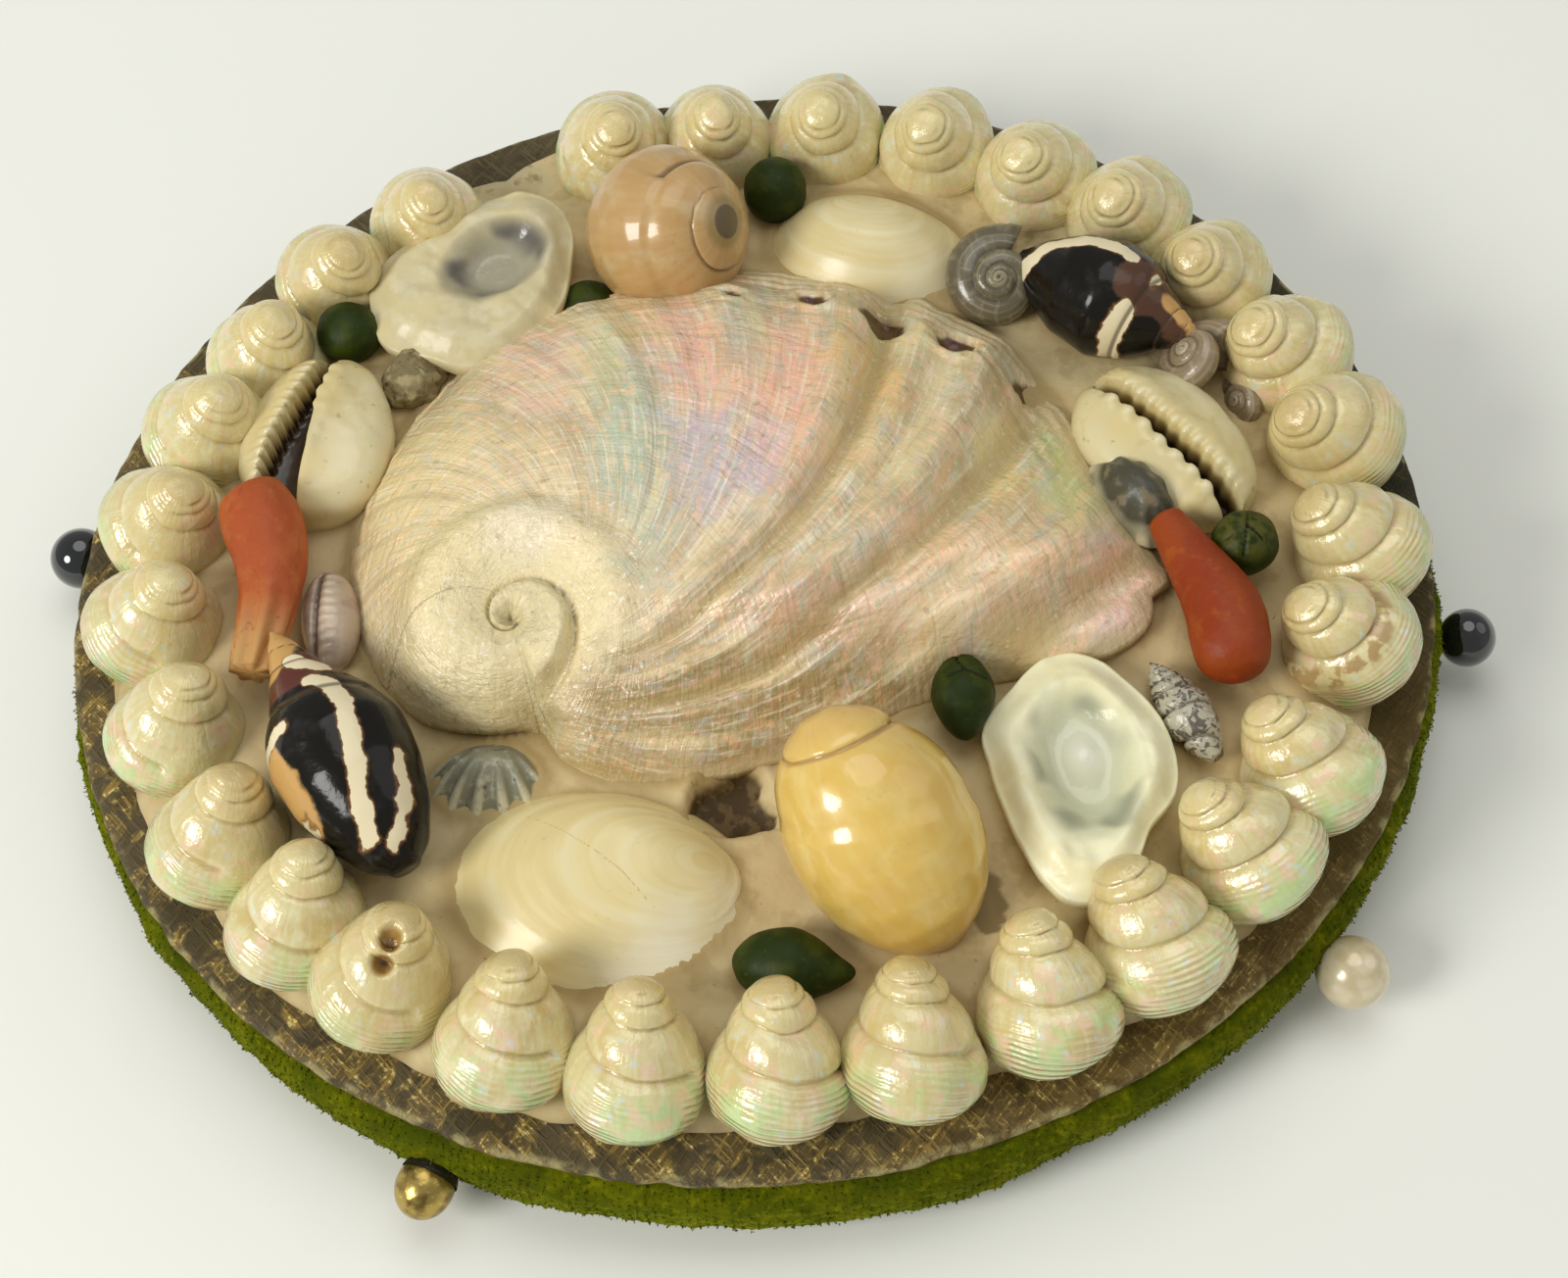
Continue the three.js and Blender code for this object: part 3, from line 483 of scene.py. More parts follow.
def pearl_paint():
    paint = Paint("pearly shell", (0.82, 0.73, 0.50), 0.27, (0.885, 0.85, 0.605), coat=(0.75, 0.12),
                  Specular_IOR_Level=0.7, Metallic=0.04)
    cords, growth = cords_of(paint), growth_of(paint, 9.0)
    low = paint.step("along", 0.42, 0.68)
    cord_zone = paint.times(low, paint.step(paint.noise(4.5, 2), 0.36, 0.6))
    paint.spots(4.0, 3, 0.38, 0.62, (0.86, 0.80, 0.60), 0.8)
    paint.spots(5.0, 3, 0.52, 0.68, (0.70, 0.52, 0.22), 0.55, twist=1.0)
    paint.where(growth, 0.52, 0.70, (0.74, 0.58, 0.30), 0.45)
    paint.where(growth, 0.5, 0.3, (0.92, 0.90, 0.80), 0.5)
    paint.spots(1.1, 4, 0.5, 0.72, (0.96, 0.95, 0.86), 0.6)
    # The green, pink and blue patches are painted iridescent sheen of the nacre.
    green = paint.times(low, paint.step(paint.noise(2.6, 4, twist=1.0), 0.47, 0.58))
    paint.layer(green, (0.50, 0.95, 0.52), 0.52)
    pink = paint.step(paint.noise(1.8, 4, paint.stretched((1, 1, 1.4), 40)), 0.54, 0.66)
    paint.layer(pink, (1.08, 0.68, 0.76), 0.45)
    blue = paint.step(paint.noise(1.5, 4, paint.stretched((1, 1.5, 1), 70)), 0.60, 0.70)
    paint.layer(blue, (0.72, 0.92, 1.25), 0.55)
    # Painted shade in the cord grooves and painted highlight on the cord crests, following the cords' bump.
    paint.layer(paint.times(cord_zone, paint.step(cords, -0.2, -1.0)), (0.60, 0.50, 0.28), 0.32)
    paint.layer(paint.times(cord_zone, paint.step(cords, 0.3, 1.0)), (1.0, 1.0, 0.94), 0.3)
    paint.where("along", 0.34, 0.10, (0.90, 0.76, 0.46), 0.5)
    paint.layer(paint.times(paint.step("along", 0.07, 0.02), "tone"), (0.62, 0.44, 0.20), 0.5)
    paint.where("suture", 0.3, 1.0, (0.66, 0.50, 0.24), 0.5)
    paint.where("tone", 0.55, 1.0, (0.74, 0.60, 0.34), 0.35)
    paint.spots(0.5, 2, 0.68, 0.8, (0.50, 0.38, 0.20), 0.4)
    stain = paint.times("stain", paint.step(paint.noise(1.4, 4), 0.36, 0.56))
    paint.where(stain, 0.1, 0.7, (0.42, 0.24, 0.08), 0.75)
    paint.where("hole", 0.40, 0.6, (0.46, 0.27, 0.09), 0.95)
    paint.where("hole", 0.75, 0.95, (0.20, 0.11, 0.04), 0.9)
    paint.bump(cords, 0.07, cord_zone)
    paint.bump(growth, 0.08, 0.6)
    paint.grain(0.45, 4, 0.06, 0.8)
    paint.grain(1.3, 4, 0.14, 0.7)
    return paint.done()


PEARL = pearl_paint()
for place in range(1, 30):
    ring_shell(place)

# Abalone
SPIRE = (-20.0, -9.5)
ABALONE_EDGE = [
    (-18.5, -16.7), (-23.5, -16.6), (-28.7, -14.4), (-32.6, -9), (-34.7, -1.3), (-34.4, 5), (-32.4, 12),
    (-27.3, 20), (-18, 27.8), (-7.7, 30.7), (3, 30.3), (11.3, 27.9), (19.5, 24), (26, 17.6), (29.6, 10),
    (31.2, 3.5), (33.6, -3.0), (35.8, -7.9), (34.2, -9.6), (33.2, -12.6), (29, -15.0), (18.6, -16.2),
    (8, -19.2), (-6.8, -22.3), (-13.5, -21.9), (-17, -19.5),
]
ABALONE_SEAT = 3.9
ABALONE_ROWS, ABALONE_COLUMNS = 150, 300
SUTURE_REACH = 5.0
SUTURE_DRAW = 0.33
FOLD_DRAW = 0.82
# Growth folds as (bearing at 10 mm from the spire, rise, width)
ABALONE_FOLDS = [(-24, 0.7, 3.4), (-30.5, -1.0, 2.2), (-36, 0.3, 2.0), (-46, 1.0, 3.4), (-53, -1.0, 2.4),
                 (-60, 0.4, 2.4), (-68, 0.8, 3.0), (-75, -0.8, 2.6), (-84, 0.5, 2.4), (-92, -0.5, 2.4),
                 (-6, 0.4, 4.0), (4, -0.3, 3.0), (22, 0.3, 5.0)]
# Its holes as (x, y, size, depth)
ABALONE_HOLES = [(0.8, 24.6, 0.8, 0.6), (8.1, 23.4, 1.15, 1.0), (14.3, 20.4, 1.7, 1.0), (20.6, 17.2, 1.4, 1.0),
                 (26.4, 13.0, 1.2, 0.7)]


def drawn_in(row, share):
    """A row of points of the abalone, nearer to its spire."""
    row = row.copy()
    row[..., 0] = SPIRE[0] + (row[..., 0] - SPIRE[0]) * share
    row[..., 1] = SPIRE[1] + (row[..., 1] - SPIRE[1]) * share
    return row


def abalone():
    edge = np.array(ABALONE_EDGE) - SPIRE
    knots = sorted((math.degrees(math.atan2(y, x)) % 360, math.hypot(x, y)) for x, y in edge)
    turn = round_row(ABALONE_COLUMNS)
    rim = outline_radius(knots, turn)
    longest = rim.max()
    share = np.linspace(0, 1, ABALONE_ROWS)[1:, None] ** 0.9
    radius = rim * share
    turn = turn + 0 * radius
    knob = 1.2 * np.clip(1 - radius / 7, 0, 1)
    dome = 6.2 * (1 - share ** 3) + 5.4 * (rim / longest) * np.sin(math.pi * share ** 0.8) + knob
    x, y = radius * np.cos(turn), radius * np.sin(turn)
    dome = dome + 1.2 * np.maximum(0, x / longest)
    # The suture winds round the spire, and the whorl inside it stands above the one outside.
    winding = np.log(np.maximum(radius, 0.3) / SUTURE_REACH) / SUTURE_DRAW + turn
    lap = (winding / TURN) % 1
    step = ease(lap, 0.0, 0.6) * (1 - ease(lap, 0.90, 1.0))
    near_knob = 1 - ease(radius, 7.5, 11.5)
    dome = dome + 0.24 * radius * step * near_knob - 0.7 * bell(radius, 0.7)
    dome = dome - 0.5 * bell(np.minimum(lap, 1 - lap), 0.035) * near_knob
    seam = math.radians(-80)
    open_turn = (turn - seam) % TURN + seam
    # Growth folds leave the spire and sweep out to the rim.
    fan = np.degrees(turn - FOLD_DRAW * np.log(np.maximum(radius, 2) / 10))
    fan = (fan + 180) % 360 - 180
    body = ease(radius, 7.5, 16) * (1 - ease(share, 0.9, 1.0) * 0.6)
    folds = sum(rise * bell(fan - at, wide) for at, rise, wide in ABALONE_FOLDS)
    fan_place = places(fan, radius * 0.06)
    ripples = 0.16 * lumps(fan_place, 3.0, 3, 3)
    dome = dome + body * (folds * radius / 26 + ripples)
    cord = np.log(np.maximum(radius, 2)) + SUTURE_DRAW * open_turn
    cord_place = places(cord * 24, turn * 0.7)
    dome = dome + 0.06 * body * lumps(cord_place, 0.8, 5, 2)
    far_rim = ease(np.degrees(turn), 5, 30) * (1 - ease(np.degrees(turn), 120, 150))
    dome = dome - 0.5 * ease(share, 0.90, 0.93) * far_rim * ease(radius, 20, 26)
    dome = dome + 0.16 * np.cos((1 - share) * radius * 5.5) * ease(share, 0.88, 0.92) * far_rim
    flat = places(x + SPIRE[0], y + SPIRE[1])
    hole = 0
    for hx, hy, size, strength in ABALONE_HOLES:
        from_x, from_y = flat[..., 0] - hx, flat[..., 1] - hy
        away = np.hypot((from_x + 0.42 * from_y) / (size * 1.15), (from_y - 0.1 * from_x) / (size * 1.25))
        hole = np.maximum(hole, strength * (1 - ease(away, 0.72, 1.12)))
        dome = dome + 0.45 * bell(away - 1.35, 0.45) * strength
    dome = dome - 1.1 * hole
    dome = dome + 0.07 * lumps(flat, 5.0, 9, 3)
    top = places(flat[..., 0], flat[..., 1], dome + ABALONE_SEAT)
    ragged = 1 + 0.006 * share * lumps(places(turn * 26, 0), 1.0, 4, 2)
    top = drawn_in(top, ragged)
    under = top[-1:] - [0, 0, 0.9]
    tuck = drawn_in(under, 0.9) - [0, 0, 0.4]
    marks = {"fan": fan, "cord": cord, "reach": radius, "share": share, "hole": hole, "step": lap,
             "east": flat[..., 0], "north": flat[..., 1]}
    piece = skin("abalone", np.concatenate([top, under, tuck]), marks)
    return dress(piece, "abalone_shell", NACRE)


def zone(paint, x, y, width, height):
    """A soft patch of the abalone round a place in board coordinates."""
    east = paint.math("DIVIDE", paint.minus("east", x), width)
    north = paint.math("DIVIDE", paint.minus("north", y), height)
    away = paint.math("SQRT", paint.plus(paint.times(east, east), paint.times(north, north)))
    wander = paint.times(paint.minus(paint.noise(4.0, 4), 0.5), 1.6)
    return paint.step(paint.plus(away, wander), 1.2, 0.35)


def valleys(paint):
    """1 in the valleys between the growth folds, where painted shade goes."""
    total = 0.0
    for at, rise, wide in ABALONE_FOLDS:
        if rise < -0.4:
            away = paint.math("DIVIDE", paint.math("ABSOLUTE", paint.minus("fan", at)), wide * 1.3)
            total = paint.math("MAXIMUM", total, paint.step(away, 1.0, 0.2))
    return total


def nacre_paint():
    paint = Paint("abalone", (0.56, 0.46, 0.29), 0.34, (1.10, 1.05, 0.91), coat=(0.3, 0.22),
                  Specular_IOR_Level=0.6, Metallic=0.1, Thin_Film_Thickness=480.0, Thin_Film_IOR=1.45)
    outside_knob = paint.step("reach", 7.0, 13.0)
    rays = paint.drawn(5, ("fan", 0.16), ("reach", 0.10))
    fine_rays = paint.drawn(4, ("fan", 0.9), ("reach", 0.22))
    cords = paint.drawn(3, ("cord", 52.0), ("fan", 0.05))
    dabs = paint.drawn(4, ("fan", 0.35), ("cord", 16.0))
    paint.spots(5.0, 5, 0.42, 0.6, (0.70, 0.62, 0.44), 0.85)
    paint.where("reach", 15.0, 6.0, (0.92, 0.84, 0.56), 0.85)
    patches = [
        ((-28, 5, 8, 15), (0.84, 0.72, 0.40), 0.75), ((-16.5, 17, 6, 8), (0.98, 0.60, 0.60), 0.55),
        ((-10.5, 16, 3.5, 10), (0.74, 0.80, 0.52), 0.6), ((-4.0, 14, 5, 12), (1.0, 0.54, 0.56), 0.7),
        ((-8.0, 4, 4.5, 13), (0.40, 0.58, 0.50), 0.75), ((4, 10, 7, 12), (1.0, 0.54, 0.46), 0.75),
        ((1.5, 19, 2.5, 8), (0.50, 0.66, 0.56), 0.5), ((12, 12, 4, 7), (0.88, 0.56, 0.18), 0.65),
        ((-2, 2, 6, 8), (0.50, 0.50, 0.72), 0.7), ((28.0, 1.0, 3.4, 9), (0.52, 0.66, 0.22), 0.6),
        ((32, -8.5, 5, 5), (1.0, 0.58, 0.62), 0.55), ((19, -7, 9, 4.5), (1.0, 0.70, 0.50), 0.6),
        ((23.0, 0, 3, 9), (0.86, 0.74, 0.34), 0.6), ((28, -12, 4, 3), (0.82, 0.62, 0.82), 0.45),
        # The pale patch at (-18, -2.5) is a painted glint.
        ((-18, -2.5, 5, 3.5), (0.86, 0.86, 0.84), 0.3), ((17, 17, 8, 4), (0.74, 0.62, 0.32), 0.6),
        ((12, 2, 7, 5), (0.86, 0.74, 0.42), 0.5),
        ((24, -7, 11, 7), (0.98, 0.74, 0.50), 0.45), ((8, -13, 14, 3), (0.86, 0.56, 0.50), 0.4),
        ((-2, -18, 26, 4.5), (0.34, 0.26, 0.10), 0.85),
    ]
    for (x, y, width, height), colour, share in patches:
        paint.layer(zone(paint, x, y, width, height), colour, share)
    hairs = paint.drawn(3, ("fan", 0.45), ("cord", 64.0))
    hues = paint.drawn(2, ("fan", 0.30), ("cord", 9.0))
    for mask, low, high, colour, share in (
            (hues, 0.54, 0.64, (1.0, 0.62, 0.34), 0.32), (hues, 0.46, 0.36, (0.56, 0.60, 0.66), 0.35),
            (hairs, 0.52, 0.64, (1.0, 0.58, 0.54), 0.28), (hairs, 0.48, 0.36, (0.46, 0.60, 0.42), 0.38),
            (dabs, 0.52, 0.70, (1.0, 0.66, 0.58), 0.3), (dabs, 0.48, 0.30, (0.62, 0.72, 0.58), 0.35),
            (rays, 0.5, 0.66, (0.86, 0.74, 0.46), 0.5), (rays, 0.48, 0.34, (0.50, 0.40, 0.22), 0.4),
            (fine_rays, 0.54, 0.68, (0.92, 0.88, 0.74), 0.5),
            (fine_rays, 0.44, 0.32, (0.46, 0.37, 0.22), 0.35)):
        paint.layer(paint.times(paint.step(mask, low, high), outside_knob), colour, share)
    paint.layer(paint.times(paint.step(cords, 0.37, 0.33), paint.step("reach", 16.0, 22.0)),
                (0.30, 0.20, 0.13), 0.28)
    # Painted shade in the valleys between the growth folds.
    paint.layer(paint.times(valleys(paint), outside_knob), (0.44, 0.35, 0.15), 0.6)
    paint.spots(0.9, 4, 0.60, 0.72, (0.40, 0.31, 0.16), 0.45)
    paint.spots(0.7, 3, 0.62, 0.74, (0.90, 0.86, 0.74), 0.5)
    glints = paint.times(paint.step(paint.noise(0.45, 4), 0.60, 0.68), paint.step("reach", 17.0, 9.0))
    paint.layer(glints, (1.0, 1.0, 0.95), 0.7)
    paint.where("share", 0.95, 0.985, (0.56, 0.48, 0.30), 0.8)
    # The holes are painted near black, as painted shade for the dark seen through them.
    paint.where("hole", 0.3, 0.6, (0.10, 0.05, 0.012), 0.97)
    suture = paint.times(paint.step("step", 0.06, 0.0), paint.step("reach", 9.0, 6.5))
    paint.layer(suture, (0.34, 0.25, 0.09), 0.75)
    paint.smooth(paint.step("reach", 16.0, 8.0), 0.20)
    paint.bump(cords, 0.16, 0.7)
    paint.bump(fine_rays, 0.18, 0.6)
    paint.grain(0.6, 5, 0.15, 0.8)
    paint.grain(1.6, 4, 0.45, paint.step("reach", 17.0, 8.0))
    return paint.done()


NACRE = nacre_paint()
abalone()

# Cowries, slit side up
def cowrie(node, turn, size, slit, lips):
    """A cowrie lying on its back. Its slit is (place across, tilt, bend, half width, widening towards +X).

    lips are the two sides of the slit, across below it and above it, as (teeth, length of a tooth,
    height of a tooth, where they start, where they stop).
    """
    length, width, height = size
    offset, tilt, bend, narrow, widening = slit
    along = np.sin(np.linspace(-math.pi / 2, math.pi / 2, 130)[1:-1])[:, None]
    fine = np.linspace(-1, 1, 74)
    across_top = np.sign(fine) * np.abs(fine) ** 1.4 * 84
    around = np.radians(np.concatenate([90 + across_top, np.linspace(184, 356, 20)]))[None, :]
    girth = (1 - along ** 2) ** 0.42 * (1 - 0.12 * along) + 0.02
    y = np.cos(around) * girth * width / 2
    up = np.sin(around)
    flatness = np.where(up > 0, np.abs(up) ** 0.7, -np.abs(up))
    z = height * (0.5 + flatness * girth ** 0.62 * np.where(up > 0, 0.42, 0.5))
    x = along * length / 2 + 0 * around
    wavy = 0.15 * lumps(places(x, 0), 3.0, 12, 2)
    gap = y - offset - tilt * along - bend * (1 - along ** 2) + wavy
    half = narrow + widening * ease(along, -0.6, 0.75) + 0 * gap
    on_top = ease(up, 0.05, 0.4)
    tooth, tall = 0 * gap, 0 * gap
    for side, (teeth, reach, rise, start, stop) in zip((-1, 1), lips):
        own = ease(side * gap, -0.1, 0.1)
        uneven = 0.5 * lumps(places(x, side * 9), 2.0, 13, 2)
        wave = (0.5 + 0.5 * np.cos(x / length * TURN * teeth + side * 0.9 + uneven)) ** 0.8
        toothed = wave * ease(along, start, start + 0.12) * (1 - ease(along, stop - 0.12, stop)) * own
        tooth = tooth + toothed * reach
        fade = bell(np.abs(gap) - half, 0.55 + reach) * ease(np.abs(gap), half * 0.5, half)
        tall = tall + toothed * rise * fade
    lip = np.abs(gap) - (half - tooth)
    slit_depth = 1 - ease(lip, -0.35, 0.12)
    ends = 1 - np.abs(along)
    depth = 3.4 * slit_depth * on_top * ease(ends, 0.0, 0.05)
    swell = 0.40 * bell(np.abs(gap) - 2.0, 1.2) * on_top * ease(ends, 0.0, 0.35)
    notch = 1.3 * bell(gap, 1.0) * on_top * ease(np.abs(along), 0.84, 0.99)
    z = z - depth + tall * on_top + swell - notch
    points = settle(places(x, y, z) @ about_z(turn).T, node)
    points = roughened(points, 3.5, 6, 3, 0.12)
    marks = {"slit": slit_depth * on_top, "tooth": np.clip(tall * 3, 0, 1) * on_top,
             "flank": np.abs(gap) / width * 2}
    return dress(skin(f"{node}_shell", points, marks), node, COWRIE)


def cowrie_paint():
    paint = Paint("cowrie", (0.80, 0.74, 0.54), 0.3, (0.84, 0.78, 0.56), coat=(0.4, 0.14))
    paint.spots(4.0, 3, 0.42, 0.62, (0.84, 0.72, 0.44), 0.7)
    paint.where("flank", 0.45, 0.85, (0.88, 0.86, 0.74), 0.7)
    paint.where("tooth", 0.2, 0.9, (0.92, 0.90, 0.78), 0.8)
    paint.spots(2.4, 4, 0.58, 0.72, (0.64, 0.52, 0.28), 0.35)
    paint.spots(0.9, 3, 0.66, 0.74, (0.40, 0.30, 0.14), 0.5)
    paint.where("slit", 0.25, 0.55, (0.46, 0.34, 0.15), 0.7)
    # The slit is painted near black, as painted shade inside it.
    paint.where("slit", 0.45, 0.85, (0.04, 0.02, 0.008))
    paint.grain(0.8, 3, 0.05, 0.5)
    return paint.done()


COWRIE = cowrie_paint()
cowrie("cowrie_left", 80, (17.2, 13.4, 8.0), (1.2, -1.2, 0.6, 2.0, -1.1),
       [(11, 0.2, 0.16, 0.1, 0.95), (16, 0.4, 0.3, -0.9, 0.9)])
cowrie("cowrie_right", -55, (18.2, 12.4, 8.0), (-0.6, 0.0, 0.5, 0.85, 0.2),
       [(9, 0.42, 0.36, -0.82, 0.85), (13, 0.30, 0.26, -0.75, 0.9)])


def egg(length, width, height, point=0.0, rows=60, columns=48):
    """Rows of an egg along X, drawn out to a point at +X by point, from 0 to 1."""
    angle = np.linspace(0, math.pi, rows + 2)[1:-1][:, None]
    around = round_row(columns)
    along = np.cos(angle)
    girth = np.sin(angle) * (1 - 0.55 * point * ease(along, -0.1, 0.95))
    y, z = np.cos(around) * girth * width / 2, np.sin(around) * girth * height / 2
    return places(along * length / 2, y, z), along, around


def small_cowrie():
    points, along, around = egg(9.8, 5.2, 4.6, rows=90, columns=72)
    top = np.clip(np.sin(around), 0, 1)
    gap = points[..., 1] + 0.5 * along
    slit = bell(gap - 0.9, 0.32) * ease(top, 0.2, 0.6) * (1 - ease(np.abs(along), 0.8, 0.95))
    ribs = (0.5 + 0.5 * np.cos(along * 34)) * bell(gap - 0.3, 1.1) * top
    points[..., 2] += 0.10 * ribs - 0.55 * slit
    points = settle(points @ about_z(92).T, "small_cowrie")
    piece = skin("lilac_cowrie", points, {"slit": slit, "rib": ribs})
    paint = Paint("lilac shell", (0.52, 0.42, 0.36), 0.22, (0.95, 0.9, 0.75), coat=(0.6, 0.1))
    paint.layer("rib", (0.72, 0.64, 0.58), 0.8)
    paint.spots(1.6, 3, 0.5, 0.66, (0.34, 0.22, 0.24), 0.5)
    # The slit is painted dark, as painted shade inside it.
    paint.where("slit", 0.3, 0.9, (0.14, 0.09, 0.07), 0.9)
    paint.grain(0.5, 3, 0.04, 0.5)
    return dress(piece, "small_cowrie", paint.done())


small_cowrie()


# Coral
def tube_along(path, radii, rows, columns):
    """Rows of points round a smooth line through places (x, y, z) with those radii."""
    path = np.array(path, float)
    at = np.linspace(0, len(path) - 1, rows)
    base = np.clip(np.floor(at).astype(int), 0, len(path) - 2)
    share = (at - base)[:, None]
    before, after = np.maximum(base - 1, 0), np.minimum(base + 2, len(path) - 1)

    def smooth(values):
        values = values.reshape(len(values), -1)
        a, b, c, d = values[before], values[base], values[base + 1], values[after]
        return b + 0.5 * share * (c - a + share * (2 * a - 5 * b + 4 * c - d + share * (3 * (b - c) + d - a)))

    line = smooth(path)
    girth = smooth(np.array(radii, float))[:, 0]
    along = np.gradient(line, axis=0)
    along /= np.linalg.norm(along, axis=1)[:, None]
    side = np.cross(along, [0, 0, 1])
    side /= np.linalg.norm(side, axis=1)[:, None]
    up = np.cross(side, along)
    around = np.linspace(0, TURN, columns, endpoint=False)
    spokes = side[:, None] * np.cos(around)[None, :, None] + up[:, None] * np.sin(around)[None, :, None]
    points = line[:, None] + spokes * girth[:, None, None]
    return points, np.linspace(0, 1, rows)[:, None], around[None, :]


def coral(node, path, radii, broken, paint):
    points, along, around = tube_along([(x, y, 0) for x, y in path], radii, 110, 52)
    round_in = np.sqrt(np.clip(1 - ((0.07 - along) / 0.07).clip(0, 1) ** 2, 0, 1))
    round_out = 1.0 if broken else np.sqrt(np.clip(1 - ((along - 0.83) / 0.17).clip(0, 1) ** 2, 0, 1))
    centre = points.mean(axis=1, keepdims=True)
    points = centre + (points - centre) * (round_in * round_out + 0 * around)[..., None]
    points[..., 2] *= 0.92
    outward = away_from(points, centre)
    relief = 0.10 * lumps(points, 3.4, 11, 3)
    if broken:
        relief = relief + 0.26 * np.cos(around * 7) * ease(along, 0.6, 0.9)
    points = settle(points + outward * relief[..., None], node)
    piece = skin(f"{node}_twig", points, {"along": along, "broken": float(broken)})
    return dress(piece, node, paint)


def coral_paint(name, body, pale, wash):
    paint = Paint(name, body, 0.5, wash, Specular_IOR_Level=0.35)
    paint.spots(4.0, 3, 0.42, 0.64, pale, 0.8)
    paint.spots(1.4, 4, 0.55, 0.75, (0.80, 0.38, 0.22), 0.35)
    paint.layer(paint.times(paint.step("along", 0.72, 0.95), "broken"),
                (0.90, 0.80, 0.62), 0.75)
    paint.spots(0.5, 3, 0.64, 0.76, (0.34, 0.08, 0.03), 0.5)
    veins = paint.noise(3.0, 3, paint.stretched((1, 0.35, 1), 8))
    paint.where(paint.math("ABSOLUTE", paint.minus(veins, 0.5)), 0.012, 0.0, (0.40, 0.12, 0.05), 0.5)
    paint.grain(0.7, 5, 0.10, 0.8)
    return paint.done()


coral("coral_left", [(-43.0, 6.8), (-41.9, 4.2), (-41.0, 0.2), (-41.2, -4.8), (-42.4, -11.2)],
      [2.9, 3.5, 3.2, 2.5, 1.7], True,
      coral_paint("left coral", (0.62, 0.16, 0.07), (0.72, 0.26, 0.13), (0.66, 0.48, 0.22)))
coral("coral_right", [(35.6, -3.0), (37.2, -7.2), (39.2, -13.0), (39.0, -19.4)], [1.5, 2.3, 3.3, 3.1], False,
      coral_paint("right coral", (0.52, 0.10, 0.03), (0.62, 0.17, 0.07), (0.52, 0.32, 0.05)))


# Seeds
def crack_marks(points, lines):
    """Distance in millimetres from lines of places (x, y) in board coordinates, seen from above."""
    least = np.full(points.shape[:2], 9.0)
    for line in lines:
        for (ax, ay), (bx, by) in zip(line, line[1:]):
            run = np.array([bx - ax, by - ay])
            from_x, from_y = points[..., 0] - ax, points[..., 1] - ay
            share = np.clip((from_x * run[0] + from_y * run[1]) / (run @ run), 0, 1)
            away = np.hypot(from_x - share * run[0], from_y - share * run[1])
            least = np.minimum(least, away)
    return least


def seed(node, size, turn, point=0.0, cracks=(), grey_cap=False, name=None, at=None):
    points = egg(*size, point, 56, 48)[0] @ about_z(turn).T
    points = settle(points, node) if at is None else points + at
    outward = away_from(points, points.mean(axis=(0, 1)))
    points = points + outward * (0.10 * lumps(points, 1.6, 21, 2))[..., None]
    crack = crack_marks(points, cracks)
    points = points - outward * (0.35 * (1 - ease(crack, 0.0, 0.22)))[..., None]
    top = points[..., 2].max()
    cap = ease(points[..., 2], top - 2.2, top - 0.4) if grey_cap else 0.0
    piece = skin(name or f"{node}_bead", points, {"crack": crack, "cap": cap})
    return dress(piece, node, SEED)


def seed_paint():
    paint = Paint("green seed", (0.028, 0.056, 0.006), 0.5, (0.55, 0.52, 0.12), Coat_Weight=0.02,
                  Specular_IOR_Level=0.2)
    paint.spots(2.2, 3, 0.45, 0.66, (0.075, 0.105, 0.015), 0.8)
    paint.spots(0.6, 3, 0.6, 0.74, (0.14, 0.17, 0.06), 0.4)
    paint.layer(paint.times("cap", paint.step(paint.noise(0.9, 4), 0.35, 0.6)),
                (0.16, 0.16, 0.11), 0.85)
    paint.where("crack", 0.16, 0.05, (0.006, 0.008, 0.004), 0.95)
    paint.bump(paint.noise(0.5, 4, paint.stretched((1, 0.4, 1), 20)), 0.06, 0.8)
    return paint.done()


SEED = seed_paint()
seed("seed_left", (6, 5.8, 5.6), 0)
seed("seed_back", (6.4, 6, 6), 80)
seed("seed_right", (5.9, 5.6, 5.4), 20, 0.0,
     [[(40.4, -7.0), (42.2, -6.2), (43.4, -7.4)], [(42.2, -6.2), (42.6, -4.8)], [(42.2, -6.2), (41.6, -8.6)]],
     True)
seed("seed_middle", (7.8, 5.3, 5.2), -95, 0.5,
     [[(16.8, -14.4), (16.4, -15.8), (17.0, -17.0), (18.6, -17.8)], [(17.0, -17.0), (15.4, -17.4)]])
seed("seed_front", (9.9, 6.3, 6), -12, 0.85)


# Periwinkles
def periwinkle(node, towards, lean, spin, size, pitch, wound, specks, paint):
    """A flat periwinkle of size (length, radius), with specks as (place, radius, strength)."""
    points, marks = whorls(*size, ROUND_PROFILE, pitch, wound, 1.0, 130, 110)
    points = settle(points @ about_z(spin).T @ turned_to(towards, lean).T, node)
    points = roughened(points, 5.0, 8, 2, 0.10)
    marks["speck"] = sum(strength * near(points, spot, radius) for spot, radius, strength in specks)
    marks["low"] = points[..., 2]
    return dress(skin(f"{node}_shell", points, marks), node, paint)


